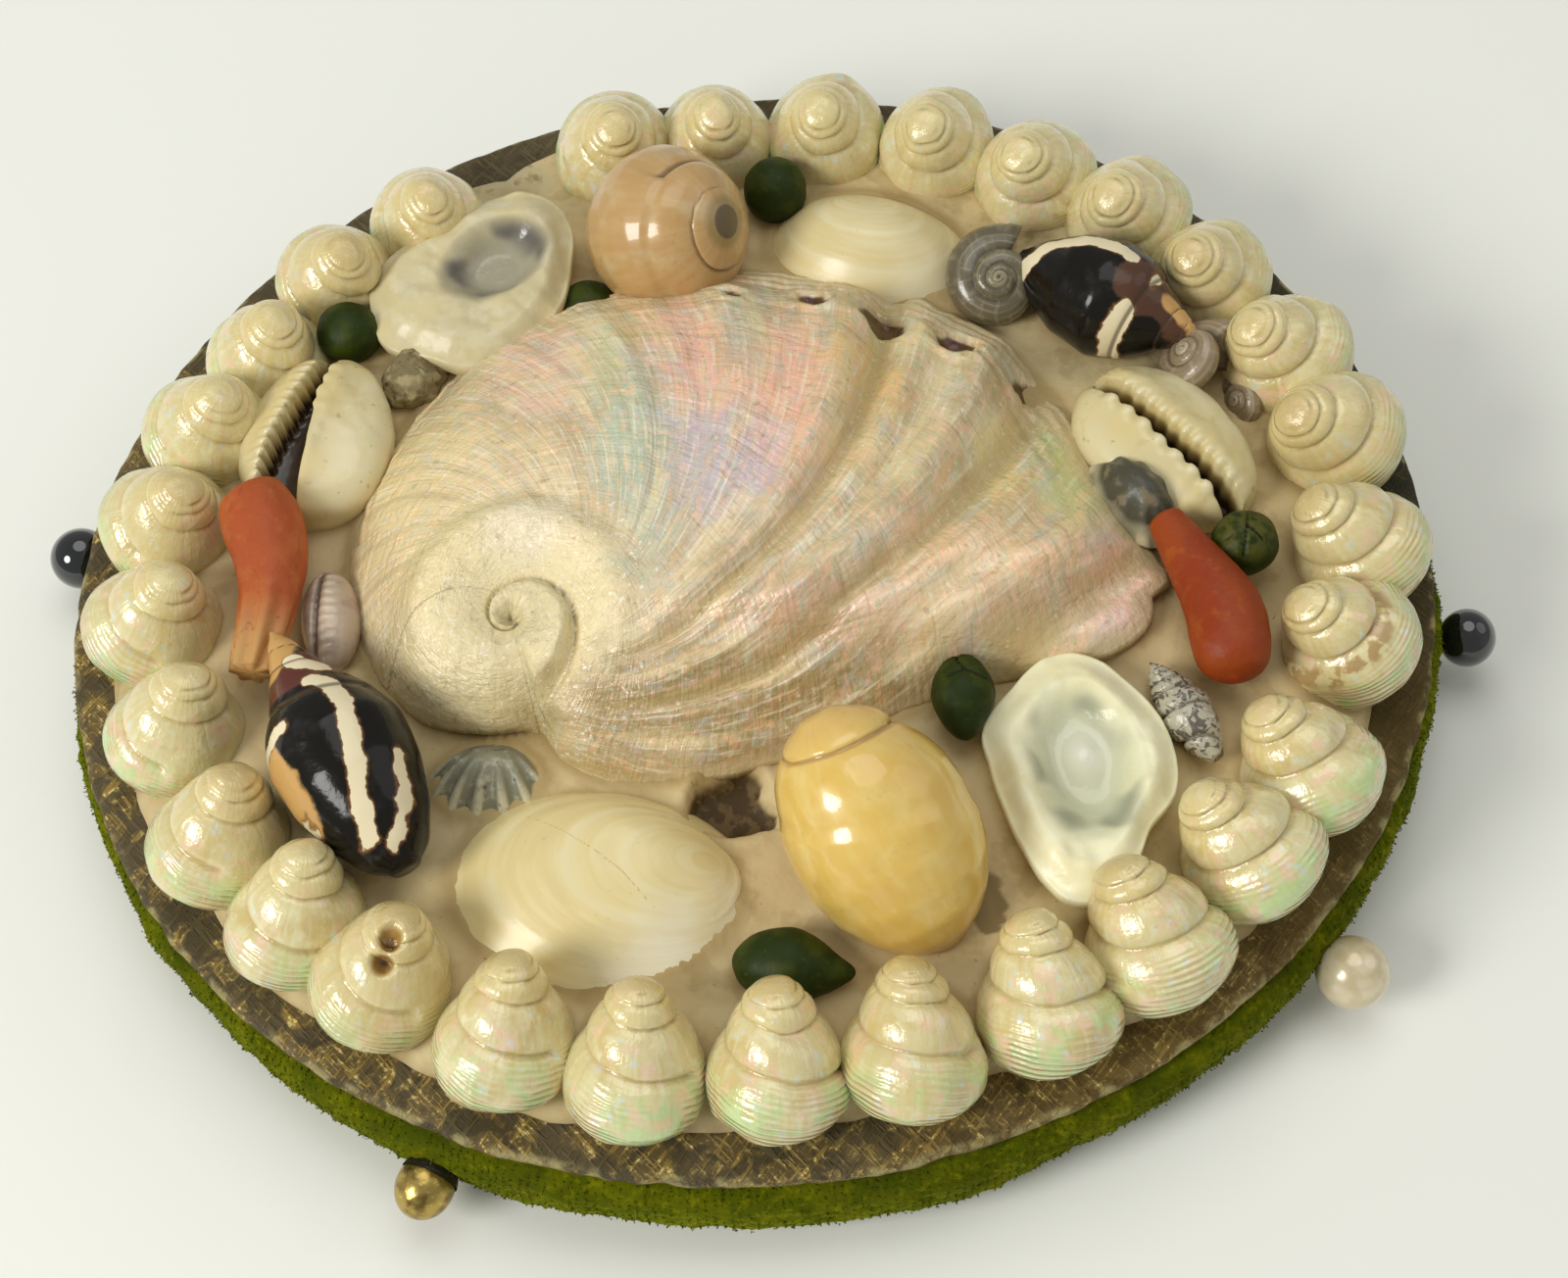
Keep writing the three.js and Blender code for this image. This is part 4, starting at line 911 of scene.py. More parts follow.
def yellow_paint():
    paint = Paint("yellow periwinkle", (0.80, 0.53, 0.14), 0.26, (0.97, 0.98, 0.84), coat=(0.7, 0.07))
    growth = growth_of(paint, 6.0)
    paint.where(growth, 0.42, 0.66, (0.86, 0.66, 0.28), 0.3)
    paint.spots(2.6, 4, 0.44, 0.68, (0.92, 0.72, 0.34), 0.35)
    paint.spots(4.0, 3, 0.5, 0.68, (0.74, 0.44, 0.09), 0.4)
    paint.spots(1.2, 4, 0.6, 0.76, (0.62, 0.42, 0.16), 0.4)
    paint.where("along", 0.12, 0.04, (0.80, 0.50, 0.18), 0.5)
    paint.where("low", 6.5, 3.2, (0.46, 0.15, 0.03), 0.75)
    paint.where("suture", 0.2, 0.9, (0.40, 0.20, 0.06), 0.75)
    paint.where("speck", 0.3, 0.6, (0.10, 0.04, 0.01), 0.9)
    paint.bump(growth, 0.08, 0.4)
    return paint.done()


def tan_paint():
    paint = Paint("tan periwinkle", (0.66, 0.42, 0.21), 0.32, (0.80, 0.76, 0.56), coat=(0.5, 0.12))
    growth = growth_of(paint, 7.0)
    paint.where(growth, 0.42, 0.66, (0.76, 0.56, 0.34), 0.35)
    paint.spots(3.0, 4, 0.48, 0.66, (0.74, 0.60, 0.44), 0.6)
    paint.spots(2.0, 3, 0.6, 0.74, (0.56, 0.28, 0.08), 0.5)
    paint.where("along", 0.035, 0.015, (0.34, 0.26, 0.11), 0.8)
    paint.where("along", 0.010, 0.005, (0.10, 0.07, 0.05), 0.8)
    paint.where("suture", 0.2, 0.9, (0.16, 0.08, 0.03), 0.8)
    paint.where("speck", 0.3, 0.6, (0.10, 0.06, 0.03), 0.9)
    paint.bump(growth, 0.08, 0.5)
    return paint.done()


ROUND_PROFILE = [(0.006, 0.17), (0.02, 0.30), (0.05, 0.44), (0.10, 0.60), (0.17, 0.74), (0.26, 0.86),
                 (0.37, 0.96), (0.48, 1.0), (0.60, 0.98), (0.73, 0.88), (0.85, 0.70), (0.94, 0.46)]
periwinkle("periwinkle_yellow", 121, 54, -165, (21.6, 7.8), 0.24, 0.34,
           [((4.6, -31.6, 14.0), 0.35, 1.0), ((3.4, -35.0, 10.5), 0.55, 0.9), ((4.6, -36.2, 9.8), 0.45, 0.9)],
           yellow_paint())
periwinkle("periwinkle_tan", -30, 56, 150, (15.4, 7.7), 0.22, 0.26, [], tan_paint())


# Limpets, hollow up
LIMPET_OUTSIDE = [(1.005, 0.86), (0.985, 0.68), (0.9, 0.4), (0.7, 0.1), (0.4, 0.0)]


def limpet(node, outline, name, hollow, lump_at, seed_number, paint):
    """A dish with a broad rim; hollow is (x, y, half length, half width, turn) of its glossy middle."""
    turn = round_row(130)
    edge = outline_radius(outline, turn)
    share = np.linspace(0.01, 1, 50)[:, None]
    x, y = edge * share * np.cos(turn), edge * share * np.sin(turn)
    place = places(x, y)
    own = (place - [hollow[0], hollow[1], 0]) @ about_z(-hollow[4]).T
    inside = np.hypot(own[..., 0] / hollow[2], own[..., 1] / hollow[3])
    inside = inside + 0.07 * lumps(place, 3.6, seed_number, 2)
    top = 6.3 - 2.3 * (1 - ease(inside, 0.35, 1.15)) - 1.5 * ease(share, 0.72, 1.0)
    lump = np.exp(-(((x - lump_at[0]) / 2.0) ** 2 + ((y - lump_at[1]) / 2.4) ** 2)) * lump_at[2]
    top = top + 1.2 * lump + 0.34 * lumps(place, 3.6, seed_number + 5, 3) * ease(inside, 0.6, 1.2)
    points = places(x, y, top)
    outside = [points[-1:] * [reach, reach, level] for reach, level in LIMPET_OUTSIDE]
    below = ((0, len(outside)), (0, 0))
    marks = {"inside": np.pad(inside, below, constant_values=2.0), "lump": np.pad(lump, below)}
    piece = skin(name, settle(np.concatenate([points, *outside]), node), marks)
    return dress(piece, node, paint)


def limpet_paint(name, rim, hollow, spots, wash):
    paint = Paint(name, rim, 0.42, wash, coat=(0.2, 0.16))
    paint.spots(3.5, 3, 0.42, 0.64, (0.84, 0.77, 0.48), 0.6)
    paint.spots(2.0, 4, 0.50, 0.66, (0.90, 0.90, 0.78), 0.35)
    paint.where("inside", 1.25, 0.55, hollow, 0.8)
    spotted = paint.times(paint.step(paint.noise(4.2, 1), 0.46, 0.68), 0.8)
    paint.where(paint.math("ABSOLUTE", paint.minus("inside", 0.78)), 0.34, 0.0, spots, spotted)
    paint.layer("lump", (0.84, 0.85, 0.80), 0.8)
    paint.smooth(paint.step("inside", 1.2, 0.6), 0.14)
    paint.grain(1.2, 3, 0.12, 0.5)
    paint.grain(0.4, 3, 0.04, 0.5)
    return paint.done()


FRONT_LIMPET = [(14, 8.0), (36, 8.6), (58, 9.6), (88, 11.6), (118, 9.8), (147, 9.0), (165, 7.6), (196, 7.0),
                (224, 8.0), (245, 10.0), (262, 11.4), (284, 9.4), (312, 7.0), (345, 7.6)]
BACK_LIMPET = [(10, 8.4), (35, 10.4), (58, 11.9), (80, 10.6), (105, 9.2), (135, 9.0), (165, 10.4), (190, 10.6),
               (210, 10.8), (235, 9.4), (262, 9.4), (300, 8.2), (335, 7.8)]
limpet("limpet_front", FRONT_LIMPET, "front_limpet", (0.2, 0.6, 7.2, 4.4, 92), (0.4, 2.0, 1.0), 31,
       limpet_paint("front limpet", (0.90, 0.88, 0.66), (0.52, 0.56, 0.42), (0.26, 0.28, 0.22),
                    (1.02, 1.0, 0.88)))
limpet("limpet_back", BACK_LIMPET, "back_limpet", (1.4, 2.2, 5.8, 3.9, 38), (0.0, 0.0, 0.0), 32,
       limpet_paint("back limpet", (0.72, 0.67, 0.46), (0.36, 0.36, 0.33), (0.08, 0.08, 0.11),
                    (0.84, 0.79, 0.66)))


# Clam valves and other domed pieces
def dome(node, turn, size, crest, umbo, name, paint, slot_name, ribs=0, rib_depth=0.0, bands=0.0, rows=70):
    """A domed valve whose growth runs out from its umbo; crest and umbo are shares of the half sizes."""
    length, width, height = size
    share = np.linspace(0.005, 1, rows)[:, None]
    around = round_row(120)
    own_x = np.cos(around) * share + crest[0] * (1 - share)
    own_y = np.sin(around) * share + crest[1] * (1 - share)
    x, y = own_x * length / 2, own_y * width / 2
    z = height * (1 - share ** 2) ** (1 / 1.15)
    from_x, from_y = own_x - umbo[0], own_y - umbo[1]
    slant = from_x * umbo[0] + from_y * umbo[1]
    rest = 1 - umbo[0] ** 2 - umbo[1] ** 2
    growth = (slant + np.sqrt(slant ** 2 + rest * (from_x ** 2 + from_y ** 2))) / rest
    fan = np.arctan2(from_y + umbo[1] * growth, from_x + umbo[0] * growth)
    if bands:
        place = places(growth * 12, np.cos(fan), np.sin(fan))
        z = z + bands * lumps(place, 1.0, 41, 2) * ease(growth, 0.1, 0.4)
    ragged = 1.0
    if ribs:
        z = z + rib_depth * np.cos(ribs * fan) * ease(growth, 0.3, 0.8)
        ragged = 1 + 0.035 * np.cos(ribs * fan) * ease(growth, 0.8, 1.0)
    points = places(x * ragged, y * ragged, z + 0 * x)
    under = points[-3:] - np.array([0.0, 0.5, 0.9])[:, None, None] * [0, 0, 1]
    under[..., :2] *= np.array([1.0, 0.97, 0.7])[:, None, None]
    points = settle(np.concatenate([points, under]) @ about_z(turn).T, node)
    points = roughened(points, 4.0, 43, 2, 0.05)
    marks = {"share": growth, "ray": np.cos(ribs * fan), "own_x": own_x, "own_y": own_y,
             "crack": crack_marks(points[:-3], CLAM_CRACKS)}
    return dress(skin(name, points, marks), node, paint)


CLAM_CRACKS = [[(-24.6, -22.8), (-20.5, -24.6), (-16.4, -27.8), (-12.4, -31.4), (-10.0, -34.6)]]


def clam_paint(name, middle_colour, margin):
    paint = Paint(name, middle_colour, 0.36, (0.92, 0.88, 0.74), coat=(0.25, 0.2))
    drift = paint.times(paint.noise(8.0, 2), 2.2)
    rings = paint.drawn(4, ("share", 15.0), drift)
    paint.where(rings, 0.48, 0.62, (0.76, 0.63, 0.33), 0.5)
    paint.where(rings, 0.5, 0.36, (0.84, 0.78, 0.56), 0.6)
    pale = paint.minus("own_x", "own_y")
    pale = paint.plus(pale, paint.times(paint.minus(paint.noise(5.0, 3), 0.5), 1.2))
    paint.where(pale, 0.45, 1.25, margin, 0.75)
    paint.where("crack", 0.10, 0.03, (0.52, 0.36, 0.14), 0.7)
    paint.spots(0.8, 3, 0.66, 0.78, (0.56, 0.44, 0.24), 0.35)
    paint.bump(rings, 0.10, 0.5)
    paint.grain(0.6, 3, 0.03, 0.4)
    return paint.done()


def ribbed_paint():
    paint = Paint("grey ribbed valve", (0.25, 0.25, 0.20), 0.4, (1.0, 0.97, 0.8), coat=(0.2, 0.2))
    rims = paint.times(paint.step("ray", -0.1, 0.7), paint.step("share", 0.5, 0.9))
    paint.layer(rims, (0.78, 0.74, 0.58), 0.9)
    paint.spots(1.1, 4, 0.5, 0.66, (0.50, 0.49, 0.42), 0.7)
    paint.spots(0.7, 3, 0.62, 0.72, (0.07, 0.06, 0.05), 0.7)
    paint.grain(0.5, 4, 0.10, 0.8)
    return paint.done()


def dark_limpet_paint():
    paint = Paint("dark limpet", (0.06, 0.06, 0.045), 0.45, (1.0, 0.95, 0.75), coat=(0.15, 0.2))
    paint.spots(1.6, 4, 0.5, 0.68, (0.24, 0.20, 0.15), 0.7)
    paint.where("share", 0.72, 0.86, (0.34, 0.33, 0.27), 0.9)
    rims = paint.times(paint.step("share", 0.84, 0.96), paint.step("ray", -0.2, 0.6))
    paint.layer(rims, (0.66, 0.62, 0.50), 0.8)
    paint.grain(0.6, 4, 0.10, 0.7)
    return paint.done()


dome("clam_front", -13, (27.4, 19.5, 5.6), (0.15, 0.34), (0.72, 0.30), "front_clam",
     clam_paint("front clam", (0.82, 0.72, 0.42), (0.90, 0.90, 0.86)), "clam_shell", bands=0.09)
dome("clam_back", -23, (20.4, 14.2, 5.4), (0.0, 0.0), (-0.15, 0.7), "back_clam",
     clam_paint("back clam", (0.78, 0.70, 0.45), (0.84, 0.80, 0.64)), "clam_shell", bands=0.04)
dome("grey_ribbed_shell", -4, (12.2, 8.8, 4.2), (-0.1, 0.2), (0.1, 0.86), "ribbed_valve", ribbed_paint(),
     "grey_shell", ribs=14, rib_depth=0.42, rows=60)
dome("dark_limpet", -62, (10.4, 6.6, 4.6), (0.1, 0.0), (0.1, 0.0), "dark_limpet_shell", dark_limpet_paint(),
     "grey_shell", ribs=9, rib_depth=0.26, rows=60)


# Tall shells
def spindle(node, towards, dip, size, profile, pitch, wound, name, paint, bands=None, dents=0.5,
            grid=(130, 80)):
    """A tall shell of size (length, radius) on its side, with its tip towards a bearing."""
    points, marks = whorls(*size, profile, pitch, wound, dents, *grid)
    points = settle(points @ turned_to(towards, 90 - dip).T, node)
    points = roughened(points, 3.0, 51, 2, 0.05)
    if bands:
        marks.update(band_marks(points, *bands))
    return dress(skin(name, points, marks), node, paint)


def band_marks(points, foot, fade, bands):
    """Distance inside the bands of each colour, as (colour, half width, places along it seen from above).

    All of them end on the flanks, from fade to foot below the top.
    """
    top = points[..., 2].max()
    least = 9.0 * (ease(points[..., 2], top - foot, top - fade) - 0.6)
    marks = {}
    for colour, half, line in bands:
        inside = np.minimum(half - crack_marks(points, [line]), least)
        marks[colour] = np.maximum(marks.get(colour, inside), inside)
    return marks


FRONT_BANDS = (7.5, 5.5, [
    ("white", 0.78, [(-36.2, -14.4), (-34.8, -15.2), (-33.4, -17.6), (-32.6, -21.0), (-32.4, -25.0),
                     (-32.0, -28.4)]),
    ("white", 0.55, [(-41.8, -19.6), (-40.6, -20.0), (-38.6, -18.6)]),
    ("white", 0.55, [(-37.4, -26.0), (-36.0, -28.6), (-35.4, -30.2)]),
    ("white", 0.42, [(-29.4, -21.6), (-29.0, -25.4), (-30.0, -29.0)]),
    ("white", 0.75, [(-38.2, -11.8), (-35.8, -12.6)]), ("white", 0.6, [(-42.0, -15.6), (-41.0, -17.2)]),
    ("tan", 1.15, [(-40.2, -20.6), (-38.4, -23.4), (-36.8, -26.6)]),
    ("tan", 1.9, [(-41.6, -9.0), (-39.6, -9.6), (-40.6, -11.6)]),
    ("purple", 1.9, [(-41.4, -14.0), (-38.4, -13.2), (-35.4, -11.4)]),
])
BACK_BANDS = (8.5, 7.0, [
    ("white", 0.85, [(26.6, 24.0), (30.0, 24.8), (34.0, 23.8), (36.6, 21.6)]),
    ("white", 0.85, [(34.0, 15.4), (35.4, 16.6)]), ("white", 0.4, [(38.0, 18.6), (38.8, 19.4)]),
    ("tan", 0.9, [(39.6, 17.4), (41.6, 15.4)]), ("purple", 2.4, [(36.8, 18.4), (38.8, 18.8), (41.4, 15.8)]),
])


def striped_paint(name, purple):
    paint = Paint(name, (0.008, 0.007, 0.006), 0.16, (1.0, 0.95, 0.8), coat=(0.1, 0.08),
                  Specular_IOR_Level=0.22)
    wander = paint.times(paint.minus(paint.noise(1.8, 4), 0.5), 1.5)
    paint.spots(2.0, 4, 0.5, 0.8, (0.03, 0.03, 0.035), 0.8)
    paint.where(paint.plus("purple", wander), -0.1, 0.25, purple, 0.92)
    paint.where(paint.plus("tan", wander), -0.1, 0.35, (0.62, 0.38, 0.15), 0.95)
    paint.where(paint.plus("white", wander), -0.25, 0.0, (0.20, 0.09, 0.03), 0.8)
    paint.where(paint.plus("white", wander), -0.03, 0.08, (0.82, 0.76, 0.60))
    paint.where("suture", 0.3, 0.9, (0.06, 0.04, 0.03), 0.7)
    paint.grain(0.7, 3, 0.05, 0.6)
    return paint.done()


def speckled_paint():
    paint = Paint("speckled shell", (0.44, 0.41, 0.30), 0.34, coat=(0.4, 0.15))
    paint.spots(1.1, 3, 0.5, 0.56, (0.08, 0.06, 0.05), 0.9, twist=1.5)
    paint.spots(0.7, 3, 0.6, 0.7, (0.66, 0.64, 0.52), 0.8)
    paint.where("suture", 0.3, 0.9, (0.10, 0.08, 0.06), 0.7)
    paint.grain(0.6, 3, 0.12, 0.7)
    return paint.done()


FRONT_PROFILE = [(0.06, 0.18), (0.13, 0.28), (0.22, 0.46), (0.27, 0.56), (0.38, 0.84), (0.5, 1), (0.66, 0.95),
                 (0.82, 0.74), (0.94, 0.48)]
BACK_PROFILE = [(0.07, 0.22), (0.15, 0.38), (0.2, 0.48), (0.34, 0.86), (0.5, 1), (0.7, 0.88), (0.9, 0.48)]
SPIRE_PROFILE = [(0.1, 0.34), (0.3, 0.76), (0.55, 1), (0.8, 0.74)]
spindle("striped_shell_front", 116, 4, (25.0, 6.0), FRONT_PROFILE, 0.52, 0.40, "front_striped_shell",
        striped_paint("front striped shell", (0.12, 0.035, 0.025)), FRONT_BANDS)
spindle("striped_shell_back", -38, 2, (18.6, 5.5), BACK_PROFILE, 0.52, 0.44, "back_striped_shell",
        striped_paint("back striped shell", (0.10, 0.05, 0.035)), BACK_BANDS)
spindle("speckled_shell", 112, 0, (10.4, 2.35), SPIRE_PROFILE, 0.66, 0.9, "speckled_spire", speckled_paint(),
        None, 1.6, (90, 48))


# Small coiled snails
def small_snail(node, towards, lean, spin, scale, name, paint, at=None):
    points, marks = coil(spin=math.radians(spin), **LOW_COIL)
    points = (points * scale) @ turned_to(towards, lean).T
    if at is None:
        points = settle(points, node)
    else:
        points = points + (np.array(at) - points.reshape(-1, 3).mean(axis=0))
    return dress(skin(name, roughened(points, 1.6, 61, 2, 0.05), marks), node, paint)


def snail_paint(name, dark, light, share):
    paint = Paint(name, dark, 0.3, coat=(0.5, 0.12))
    bands = paint.drawn(3, ("lap", 1.5), ("around", 3.6))
    growth = paint.drawn(4, ("lap", 26.0), "around")
    paint.where(bands, 0.5, 0.62, light, share)
    paint.where(growth, 0.5, 0.68, light, share * 0.7)
    paint.where("around", 1.35, 1.75, (0.05, 0.035, 0.02), 0.8)
    paint.where("lap", -1.9, -2.6, light, 0.6)
    paint.bump(growth, 0.08, 0.6)
    paint.grain(0.5, 3, 0.05, 0.5)
    return paint.done()


LOW_COIL = {"laps": 3.8, "growth": 2.0, "reach": 3.2, "tube": 2.9, "up": 2.6, "down": 3.2, "climb": 4.0,
            "dive": 1.2}
small_snail("grey_top_shell", -96, 30, 60, 0.98, "grey_snail",
            snail_paint("grey snail", (0.12, 0.10, 0.055), (0.34, 0.29, 0.18), 0.55))
small_snail("brown_snail", 170, 40, 20, 0.82, "brown_snail_shell",
            snail_paint("brown snail", (0.26, 0.19, 0.11), (0.48, 0.41, 0.28), 0.5))


# Plaster bed
BED_INSET = 4.5
BED_PROFILE = ([0, 0.55, 0.84, 1.0], [3.6, 3.6, 3.0, 1.2])
CRATER = (-3.1, -24.7, 3.4)
SEED_SCAR = (16.6, -35.5)
MISSING_SHELL = (-20, 46.5)
# Stains as (x, y, size, strength)
STAINS = [(28.7, 33.9, 4.2, 1.0), (22.5, -18.5, 2.5, 0.4), (-39, -23.5, 3.0, 0.35), (46.5, 9.0, 4.5, 0.5),
          (-27, -30, 3.0, 0.35), (35.5, -8.5, 3.5, 0.5), (24.5, -12.0, 2.0, 0.3), (-14, 26, 4, 0.5),
          (39, 14, 4, 0.35)]
CRACKS = [[(-31, 8.6), (-33.6, 9.2), (-36.4, 8.0)], [(-3, -20.8), (-10, -22.4), (-14, -22.2)],
          [(5.8, -22.8), (7, -26)], [(31, 18), (33.5, 15.6)], [(24, 24.4), (27, 21.2)],
          [(8.8, -38.8), (10.4, -40.4), (10.6, -42.4)], [(29, -30), (30.4, -33.4)], [(36, 11), (34, 13)],
          [(-20.4, -37.2), (-24, -36.2)], [(44, -12), (45.4, -10)]]
FUSED = {"pebble": (-28.6, 21.6), "sunken_snail": (45.4, 11.0), "hidden_seed": (-12.4, 28.0)}


def set_pieces():
    """A search tree over every CAD piece that stands in the bed."""
    corners, faces = [], []
    for name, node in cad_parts.items():
        if name in ("top_board", "plaster_bed", "velvet_cushion") or name.startswith("pin_"):
            continue
        start = len(corners)
        corners += corners_of(name).tolist()
        faces += [[start + index for index in face.vertices] for face in node.data.polygons]
    return BVHTree.FromPolygons(corners, faces)


def plaster():
    half_length, half_width = HALF_LENGTH - BED_INSET, HALF_WIDTH - BED_INSET
    turn = round_row(320)
    share = np.concatenate([np.linspace(0.004, 0.74, 66), np.linspace(0.75, 1, 36)])[:, None]
    x, y = half_length * share * np.cos(turn), half_width * share * np.sin(turn)
    flat = places(x, y)
    ragged = ease(share, 0.8, 1.0) * (0.9 * lumps(flat, 7.0, 71, 3) + 0.5)
    x = x * (1 + ragged / half_length)
    y = y * (1 + ragged / half_width)
    height = np.interp(share, *BED_PROFILE) + 0 * turn
    flat = places(x, y)
    height = height + 0.35 * lumps(flat, 6.0, 72, 3) * (1 - ease(share, 0.97, 1.0))
    tree = set_pieces()
    gap = np.empty(x.shape)
    for row in range(x.shape[0]):
        for column in range(x.shape[1]):
            hit = tree.find_nearest(Vector((x[row, column], y[row, column], height[row, column])), 6.0)
            gap[row, column] = hit[3] if hit[3] is not None else 6.0
    height = height + 0.75 * np.exp(-gap / 0.9) * (1 - ease(share, 0.93, 1.0))
    away = np.hypot(x - CRATER[0], (y - CRATER[1]) * 1.1)
    crater = 1 - ease(away + 0.8 * lumps(flat, 2.0, 73, 2), CRATER[2] * 0.7, CRATER[2] * 1.15)
    height = height - 1.9 * crater + 0.5 * bell(away - 4.0, 0.6)
    scar = 1 - ease(np.hypot((x - SEED_SCAR[0]) / 1.6, (y - SEED_SCAR[1]) / 2.9), 0.85, 1.1)
    height = height - 0.35 * scar
    away = np.hypot((x - MISSING_SHELL[0]) / 4.6, (y - MISSING_SHELL[1]) / 3.6)
    missing = 1 - ease(away + 0.3 * lumps(flat, 3.0, 74, 2), 0.7, 1.2)
    height = height * (1 - 0.75 * missing) + missing * (0.7 + 0.75 * lumps(flat, 2.0, 75, 3))
    height = height + 0.05 * lumps(flat, 1.0, 76, 2)
    height = height * (1 - ease(share, 0.985, 1.0)) + 0.25 * ease(share, 0.985, 1.0)
    top = places(x, y, np.maximum(height, 0.2))
    foot = top[-1:].copy()
    foot[..., 2] = 0.02
    points = np.concatenate([top, foot])
    stain = sum(strength * bell(np.hypot(x - sx, y - sy), size) for sx, sy, size, strength in STAINS)
    cracks = crack_marks(flat, CRACKS) + 0.12 * lumps(flat, 1.2, 77, 2)
    marks = {"gap": gap, "crater": crater, "scar": scar, "stain": stain, "crack": cracks, "missing": missing}
    piece = skin("plaster", points, marks)
    paint = Paint("plaster", (0.63, 0.53, 0.37), 0.62, (0.95, 0.88, 0.64), Specular_IOR_Level=0.3)
    paint.spots(6.0, 4, 0.42, 0.62, (0.70, 0.62, 0.47), 0.8)
    paint.spots(2.4, 4, 0.52, 0.72, (0.50, 0.40, 0.26), 0.45)
    paint.spots(3.4, 5, 0.46, 0.36, (0.40, 0.30, 0.16), 0.4)
    # Painted shade on the plaster close to the pieces that stand in it.
    paint.where("gap", 1.5, 0.15, (0.38, 0.28, 0.14), 0.7)
    paint.where(paint.times("stain", paint.noise(1.6, 4)), 0.14, 0.5, (0.17, 0.12, 0.045), 0.8)
    paint.where("scar", 0.3, 0.8, (0.24, 0.18, 0.09), 0.85)
    paint.where("missing", 0.2, 0.8, (0.56, 0.52, 0.42), 0.7)
    glue = paint.times(paint.step("missing", 0.2, 0.8), paint.step(paint.noise(1.8, 4), 0.52, 0.64))
    paint.layer(glue, (0.26, 0.20, 0.12), 0.7)
    crater_colour = paint.times("crater", paint.step(paint.noise(1.2, 4), 0.25, 0.6))
    paint.where("crater", 0.3, 0.8, (0.11, 0.07, 0.028), 0.95)
    paint.where(crater_colour, 0.5, 0.9, (0.05, 0.03, 0.010), 0.8)
    paint.where("crack", 0.09, 0.03, (0.20, 0.13, 0.06), 0.7)
    paint.spots(0.5, 2, 0.70, 0.78, (0.34, 0.24, 0.12), 0.6)
    paint.grain(1.0, 5, 0.16, 0.6)
    return dress(piece, "plaster_bed", paint.done())


plaster()


def fused_lumps():
    rows = egg(6.8, 5.8, 5.2, rows=60, columns=60)[0] @ about_z(60).T + [*FUSED["pebble"], 4.2]
    rows = rows + away_from(rows, rows.mean(axis=(0, 1))) * (0.45 * lumps(rows, 1.8, 81, 4))[..., None]
    paint = Paint("pebble", (0.24, 0.19, 0.11), 0.75, (0.8, 0.8, 0.6))
    paint.spots(1.4, 5, 0.45, 0.62, (0.46, 0.38, 0.25), 0.9)
    paint.spots(0.6, 4, 0.58, 0.7, (0.08, 0.06, 0.03), 0.8)
    paint.grain(0.7, 5, 0.3, 1.0)
    dress(skin("rough_pebble", rows), None, paint.done())
    seed("plaster_bed", (5.8, 5.6, 5.6), 10, name="hidden_seed", at=[*FUSED["hidden_seed"], 3.6])
    small_snail("plaster_bed", 200, 50, 0, 0.66, "sunken_snail",
                snail_paint("sunken snail", (0.26, 0.19, 0.11), (0.50, 0.43, 0.30), 0.7),
                [*FUSED["sunken_snail"], 3.4])


fused_lumps()


# Board with its brocade
# The board's edge as (step out, share of its thickness below the top)
BOARD_EDGE = [(-6.0, 1.0), (-0.25, 1.0), (0.0, 0.72), (0.05, 0.333), (-0.12, 0.12), (-0.5, 0.0133)]


